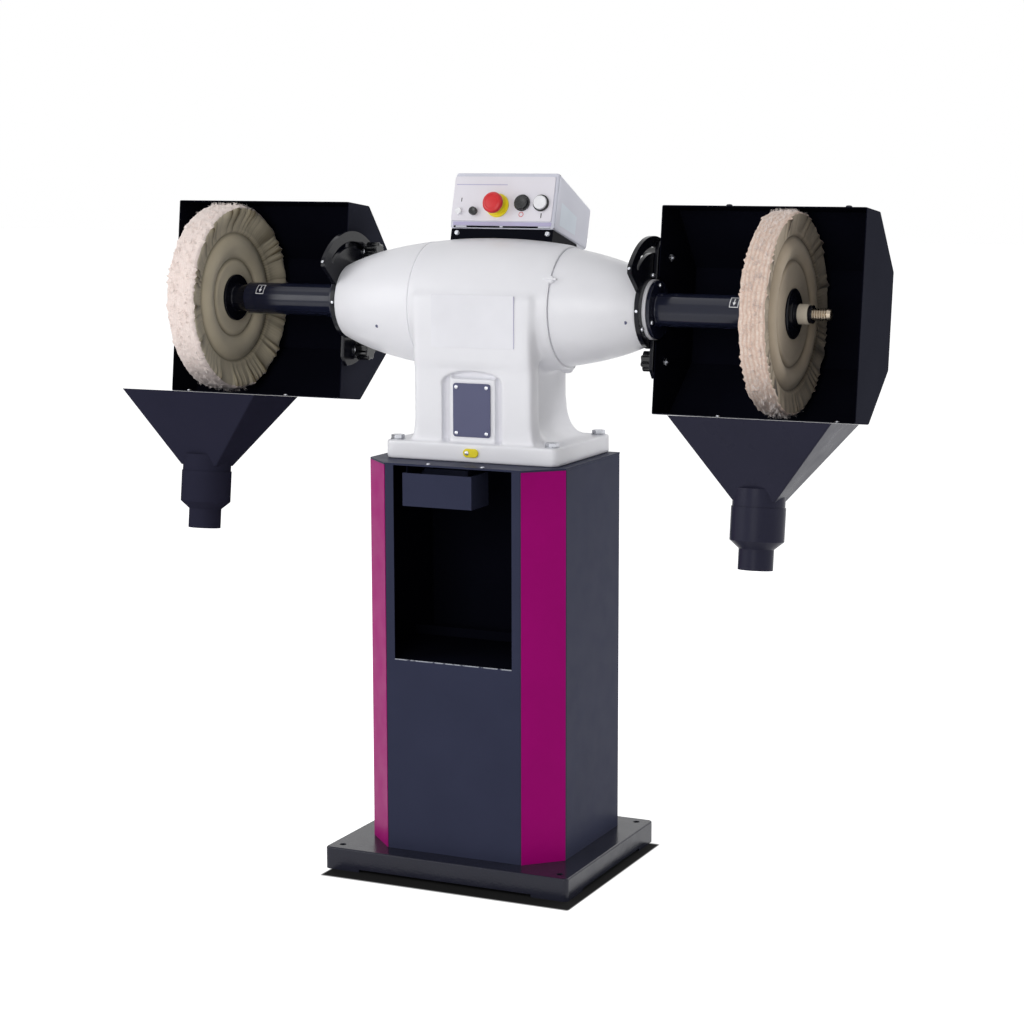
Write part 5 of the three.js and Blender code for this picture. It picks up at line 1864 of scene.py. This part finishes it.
@dataclass
class Console(Assembly):
    """The sloping control box on its cradle, with its controls."""

    width: float = 240
    depth: float = 177
    front_height: float = 118
    back_height: float = 88
    sheet: float = 2
    panel_front: float = -2.3
    stop_at: Point = (-12.96, 48.03)
    off_at: Point = (42, 54.04)
    on_at: Point = (84.96, 54.04)
    reset_at: Point = (-66, 35.05)
    lamp_at: Point = (-101.04, 35.05)
    mushroom: float = 22
    push: float = 14.2
    bezel_radius: float = 17.3
    panel_low: float = 15.5
    panel_margin: float = 8
    panel_inset: float = 11
    panel_shift: float = -3.5
    print_height: float = 0.15
    ring_at: Point = (42, 30)
    clips: tuple[Point, ...] = ((-105, -80), (-4, 3), (83, 110))
    side_label: tuple[Point, ...] = ((22, 14), (105, 14), (105, 52), (22, 62))
    cradle_bolts: Point = (-101.7, 104.9)

    def box(self) -> Shape:
        """Makes the folded shell with round corners, cut through for the controls."""
        half, sheet, deep = self.width / 2, self.sheet, self.depth
        outline = [(0, 0), (deep, 0), (deep, self.back_height), (0, self.front_height)]
        shell = Shape.prism(Axis.X, outline, -half, half)
        shell.soften(7, 4, where=lambda _, way: abs(way.x) < 0.5).soften(2.5, 3)
        inner = [(sheet, sheet), (deep - sheet, sheet)]
        inner += [(deep - sheet, self.back_height - sheet), (sheet, self.front_height - sheet)]
        shell.carve(Shape.prism(Axis.X, inner, sheet - half, half - sheet))
        for at, radius in (
            (self.stop_at, 8.6),
            (self.off_at, 9.6),
            (self.on_at, 9.6),
            (self.reset_at, 4.6),
            (self.lamp_at, 4.6),
        ):
            shell.carve(Shape.rod(Axis.Y, radius, -5, 5, at, 24))
        return shell

    def panel(self) -> Shape:
        """Makes the front plate, above the ledge."""
        low, high = self.panel_low, self.front_height - self.panel_margin
        middle = (self.panel_shift, (low + high) / 2)
        outline = rounded(self.width - self.panel_inset, high - low, 4, middle)
        return Shape.prism(Axis.Y, outline, self.panel_front, -0.3).soften(0.8, 2)

    def marks(self) -> None:
        """Builds the plain marks, the ledge with its clips, a black strip of painted shadow under
        it, the blank label and the bolts.
        """
        front = self.panel_front
        proud = front - self.print_height
        ring = [(4.2, proud), (5.4, proud), (5.4, front), (4.2, front)]
        self.piece(
            "panel_ring", Shape.turned(Axis.Y, ring, self.ring_at, 48, True), RED_PLASTIC, CONSOLE
        )
        left = ((-98.6, proud, 56), (-96.6, front, 64))
        right = ((86.4, proud, 23), (88.4, front, 33))
        clips = [((start, -1.8, 2.2), (end, -0.6, 5.2)) for start, end in self.clips]
        for name, finish, edge, steps, blocks in (
            ("line", LEDGE_GREY, 0, 0, [((-113, proud, 91.6), (4, front, 93.2))]),
            ("bars", BLACK_PLASTIC, 0, 0, [right, left]),
            ("ledge", LEDGE_GREY, 0.5, 2, [((-112, -1.6, 6), (112, -0.2, 13.5))]),
            # A black strip under the ledge: painted shadow.
            ("painted_shadow_line", CRADLE_BLACK, 0, 0, [((-110, -0.8, 1.6), (110, -0.2, 5.4))]),
            ("clips", BOX_GREY, 0.4, 1, clips),
        ):
            shape = Shape()
            for low, high in blocks:
                block = Shape.block(low, high)
                shape.beside(block.soften(edge, steps) if steps else block)
            self.piece(f"panel_{name}", shape, finish, CONSOLE)
        label = Shape.prism(Axis.X, self.side_label, self.width / 2, self.width / 2 + 0.25)
        self.piece("side_label", label, LABEL_WHITE, CONSOLE)
        bolts = Shape()
        for across in self.cradle_bolts:
            bolts.beside(hex_bolt(Axis.Y, 5, 4, 3, (across, -9.4), -1))
        self.piece("cradle_bolts", bolts, STEEL, CONSOLE)

    def cap(self, radius: float, stand: float, height: float, stem: float, at: Point) -> Shape:
        """Makes a round push cap on its stem."""
        back = self.panel_front + 0.3 - stand
        front = back - height
        profile = [(0, 12), (stem, 12), (stem, back), (radius, back), (radius, front + 1.2)]
        profile += [
            (radius - 0.5, front + 0.4),
            (radius - 1.4, front),
            (radius * 0.5, front + 0.5),
            (0, front + 0.7),
        ]
        return Shape.turned(Axis.Y, profile, at, 48)

    def bezel(self, inner: float, outer: float, height: float, at: Point) -> Shape:
        """Makes the ring that holds a push cap in the panel."""
        front = self.panel_front - height
        profile = [
            (inner, self.panel_front),
            (outer, self.panel_front),
            (outer, front + 1.4),
            (outer - 1.6, front),
        ]
        profile += [(inner + 0.6, front), (inner, front + 0.6)]
        return Shape.turned(Axis.Y, profile, at, 64, hollow=True)

    def emergency(self) -> None:
        """Builds the red mushroom on its yellow collar."""
        at, back = self.stop_at, self.panel_front - 0.3
        profile = [
            (9, back),
            (25, back),
            (25, back - 2.2),
            (24, back - 3),
            (17.4, back - 3.4),
            (16, back - 5),
        ]
        profile += [(16, back - 14), (15, back - 15), (9, back - 15)]
        collar = Shape.turned(Axis.Y, profile, at, 64, hollow=True)
        self.piece("collar", collar, YELLOW_PLASTIC, CONSOLE, replaces=["stop_collar"])
        radius, back = self.mushroom, self.panel_front + 0.3 - 20
        profile = [
            (0, 12),
            (8, 12),
            (8, back),
            (radius - 3, back),
            (radius - 0.8, back - 1.6),
            (radius, back - 4),
        ]
        profile += [(radius, back - 8.5), (radius - 1.4, back - 11.5), (radius - 4, back - 13.2)]
        profile += [
            (radius - 7, back - 13.6),
            (radius - 7.8, back - 12.8),
            (radius - 8.6, back - 13.4),
            (0, back - 14),
        ]
        mushroom = Shape.turned(Axis.Y, profile, at, 64)
        self.piece("mushroom", mushroom, RED_PLASTIC, CONSOLE, "emergency_push", ["emergency_stop"])

    def build(self) -> None:
        """Builds the console."""
        self.piece("console_shell", self.box(), BOX_GREY, CONSOLE, replaces=["control_box"])
        self.piece("console_panel", self.panel(), PANEL_GREY, CONSOLE, replaces=["control_panel"])
        cradle = Shape.of_node("box_cradle", CONSOLE).soften(1.4, 2, 60)
        self.piece("cradle", cradle, CRADLE_BLACK, CONSOLE, replaces=["box_cradle"])
        self.marks()
        self.emergency()
        push = self.push
        for name, at in (("stop", self.off_at), ("start", self.on_at)):
            bezel = self.bezel(push + 0.8, self.bezel_radius, 5, at)
            self.piece(f"{name}_bezel", bezel, BLACK_PLASTIC, CONSOLE)
        for name, finish, sizes, at, body, node in (
            ("stop_cap", BLACK_PLASTIC, (push, 4.5, 6, 9), self.off_at, "stop_push", "stop_button"),
            (
                "start_cap",
                WHITE_PLASTIC,
                (push, 4.5, 6, 9),
                self.on_at,
                "start_push",
                "start_button",
            ),
            (
                "reset_cap",
                BLACK_PLASTIC,
                (8.5, 3, 8, 4),
                self.reset_at,
                "reset_push",
                "reset_button",
            ),
            ("lamp", WHITE_PLASTIC, (7.5, 0.3, 6, 4), self.lamp_at, "pedestal", "pilot_lamp"),
        ):
            self.piece(name, self.cap(*sizes, at), finish, CONSOLE, body, [node])
        self.repaint(BLACK_PLASTIC, "contactor")


@dataclass
class Studio:
    """The plain studio: a white floor, soft lamps and the photograph's camera."""

    azimuth: float = 24.98
    elevation: float = 8.86
    roll: float = -0.11
    lens: float = 83.52
    place: Triple = (2.1128, -4.4387, 1.5056)
    floor_size: float = 60
    white: float = 1
    ambient: float = 0.33
    # Near the base the floor's glow and tone fall away: a painted shadow.
    floor_glow: Point = (0, 0.8)
    floor_tone_with_painted_shadow: Point = (0.01, 0.86)
    painted_shadow_reach: Point = (0.001, 0.008)
    footprint: Triple = (0.277, 0.24, 0)
    painted_shadow_shift: Triple = (0.019, -0.041, 0)
    depth_share: float = 0.5
    lamps: tuple[tuple[str, Triple, Triple, float, float], ...] = (
        ("left lamp", (-3.3, -3.1, 2.1), (0, 0, 0.9), 2.6, 62),
        ("front lamp", (0.7, -4.9, 1.9), (0, 0, 0.8), 2.2, 66),
        ("right lamp", (4.4, 1.9, 1.8), (0, 0, 1), 1.2, 60),
        ("top lamp", (-0.6, -0.8, 4.2), (0, 0, 1), 2.8, 15),
        ("back lamp", (0.4, 3.6, 2.4), (0, 0, 0.9), 2.6, 16),
    )

    def camera(self) -> None:
        """Sets the camera where the photograph was taken."""
        data = bpy.data.cameras.new("camera")
        data.lens = self.lens
        data.sensor_width = 36
        data.clip_end = 200
        camera = bpy.data.objects.new("camera", data)
        bpy.context.scene.collection.objects.link(camera)
        camera.location = self.place
        level = Matrix.Rotation(math.radians(90 - self.elevation), 4, "X")
        turn = Matrix.Rotation(math.radians(self.azimuth), 4, "Z")
        tip = Matrix.Rotation(math.radians(self.roll), 4, "Z")
        camera.rotation_euler = (turn @ level @ tip).to_euler()
        bpy.context.scene.camera = camera

    def lamp(self, name: str, place: Triple, aim: Triple, size: float, power: float) -> None:
        """Hangs one soft square lamp."""
        data = bpy.data.lights.new(name, "AREA")
        data.shape = "SQUARE"
        data.size = size
        data.energy = power
        lamp = bpy.data.objects.new(name, data)
        bpy.context.scene.collection.objects.link(lamp)
        lamp.location = place
        lamp.rotation_euler = (Vector(aim) - Vector(place)).to_track_quat("-Z", "Y").to_euler()

    def seen(self, tree: bpy.types.NodeTree) -> Socket:
        """Gives 1 where the camera, a reflection or a clear part looks at the backdrop."""
        rays = tree.nodes.new("ShaderNodeLightPath").outputs
        total = rays["Is Camera Ray"]
        for other in ("Is Glossy Ray", "Is Transmission Ray"):
            either = tree.nodes.new("ShaderNodeMath")
            either.operation = "MAXIMUM"
            tree.links.new(total, either.inputs[0])
            tree.links.new(rays[other], either.inputs[1])
            total = either.outputs[0]
        return total

    def world(self) -> None:
        """Makes the surroundings white to look at, and dimmer as a light."""
        world = bpy.data.worlds.new("studio")
        world.use_nodes = True
        bpy.context.scene.world = world
        tree = world.node_tree
        strength = tree.nodes.new("ShaderNodeMapRange")
        tree.links.new(self.seen(tree), strength.inputs["Value"])
        strength.inputs["To Min"].default_value = self.ambient
        strength.inputs["To Max"].default_value = self.white
        background = tree.nodes["Background"]
        background.inputs["Color"].default_value = (1, 1, 1, 1)
        tree.links.new(strength.outputs[0], background.inputs["Strength"])

    def beyond_footprint(self, tree: bpy.types.NodeTree) -> Socket:
        """Gives how far a place on the floor is from the painted shadow under the base.

        The painted shadow stands nearer to the camera than the base, and the depth counts for less.
        """
        value = tree.nodes.new("ShaderNodeTexCoord").outputs["Object"]
        for operation, amount in (
            ("SUBTRACT", self.painted_shadow_shift),
            ("ABSOLUTE", (0, 0, 0)),
            ("SUBTRACT", self.footprint),
            ("MULTIPLY", (1, self.depth_share, 0)),
            ("MAXIMUM", (0, 0, 0)),
        ):
            step = tree.nodes.new("ShaderNodeVectorMath")
            step.operation = operation
            tree.links.new(value, step.inputs[0])
            step.inputs[1].default_value = amount
            value = step.outputs[0]
        length = tree.nodes.new("ShaderNodeVectorMath")
        length.operation = "LENGTH"
        tree.links.new(value, length.inputs[0])
        return length.outputs["Value"]

    def floor(self) -> None:
        """Lays a pale floor that keeps the object's shadow, with a painted shadow patch under the
        base where its colour and glow fall to nearly nothing.
        """
        mesh = bmesh.new()
        bmesh.ops.create_grid(mesh, x_segments=1, y_segments=1, size=self.floor_size / 2)
        data = bpy.data.meshes.new("floor")
        mesh.to_mesh(data)
        mesh.free()
        floor = bpy.data.objects.new("floor", data)
        bpy.context.scene.collection.objects.link(floor)
        material = bpy.data.materials.new("pale floor")
        material.use_nodes = True
        tree = material.node_tree
        shader = tree.nodes["Principled BSDF"]
        shader.inputs["Roughness"].default_value = 0.8
        shader.inputs["Specular IOR Level"].default_value = 0.1
        shader.inputs["Emission Color"].default_value = (1, 1, 1, 1)
        beyond = self.beyond_footprint(tree)
        # The floor's colour and glow drop under the base: painted shadow.
        glow, tone = (tree.nodes.new("ShaderNodeMapRange") for _ in range(2))
        for ramp, ends in ((glow, self.floor_glow), (tone, self.floor_tone_with_painted_shadow)):
            ramp.interpolation_type = "SMOOTHSTEP"
            tree.links.new(beyond, ramp.inputs["Value"])
            ramp.inputs[
                "From Min"
            ].default_value, ramp.inputs["From Max"].default_value = self.painted_shadow_reach
            ramp.inputs["To Min"].default_value, ramp.inputs["To Max"].default_value = ends
        tree.links.new(tone.outputs[0], shader.inputs["Base Color"])
        strength = tree.nodes.new("ShaderNodeMath")
        strength.operation = "MULTIPLY"
        tree.links.new(glow.outputs[0], strength.inputs[0])
        tree.links.new(self.seen(tree), strength.inputs[1])
        tree.links.new(strength.outputs[0], shader.inputs["Emission Strength"])
        data.materials.append(material)

    def build(self) -> None:
        """Sets up the studio."""
        self.camera()
        self.world()
        self.floor()
        for lamp in self.lamps:
            self.lamp(*lamp)


def corners(low: Vector, high: Vector) -> list[list[float]]:
    """Turns a box into plain lists."""
    return [list(low), list(high)]


def main() -> None:
    """Builds the machine and its studio."""
    logging.basicConfig(level=logging.INFO, format="%(relativeCreated)d ms, %(message)s")
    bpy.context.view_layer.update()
    bpy.context.scene.view_settings.view_transform = "Standard"
    for part in (Studio(), Pedestal(), MotorCasting(), Spindle(), SideGear(), Console()):
        part.build()


if __name__ == "__main__":
    main()
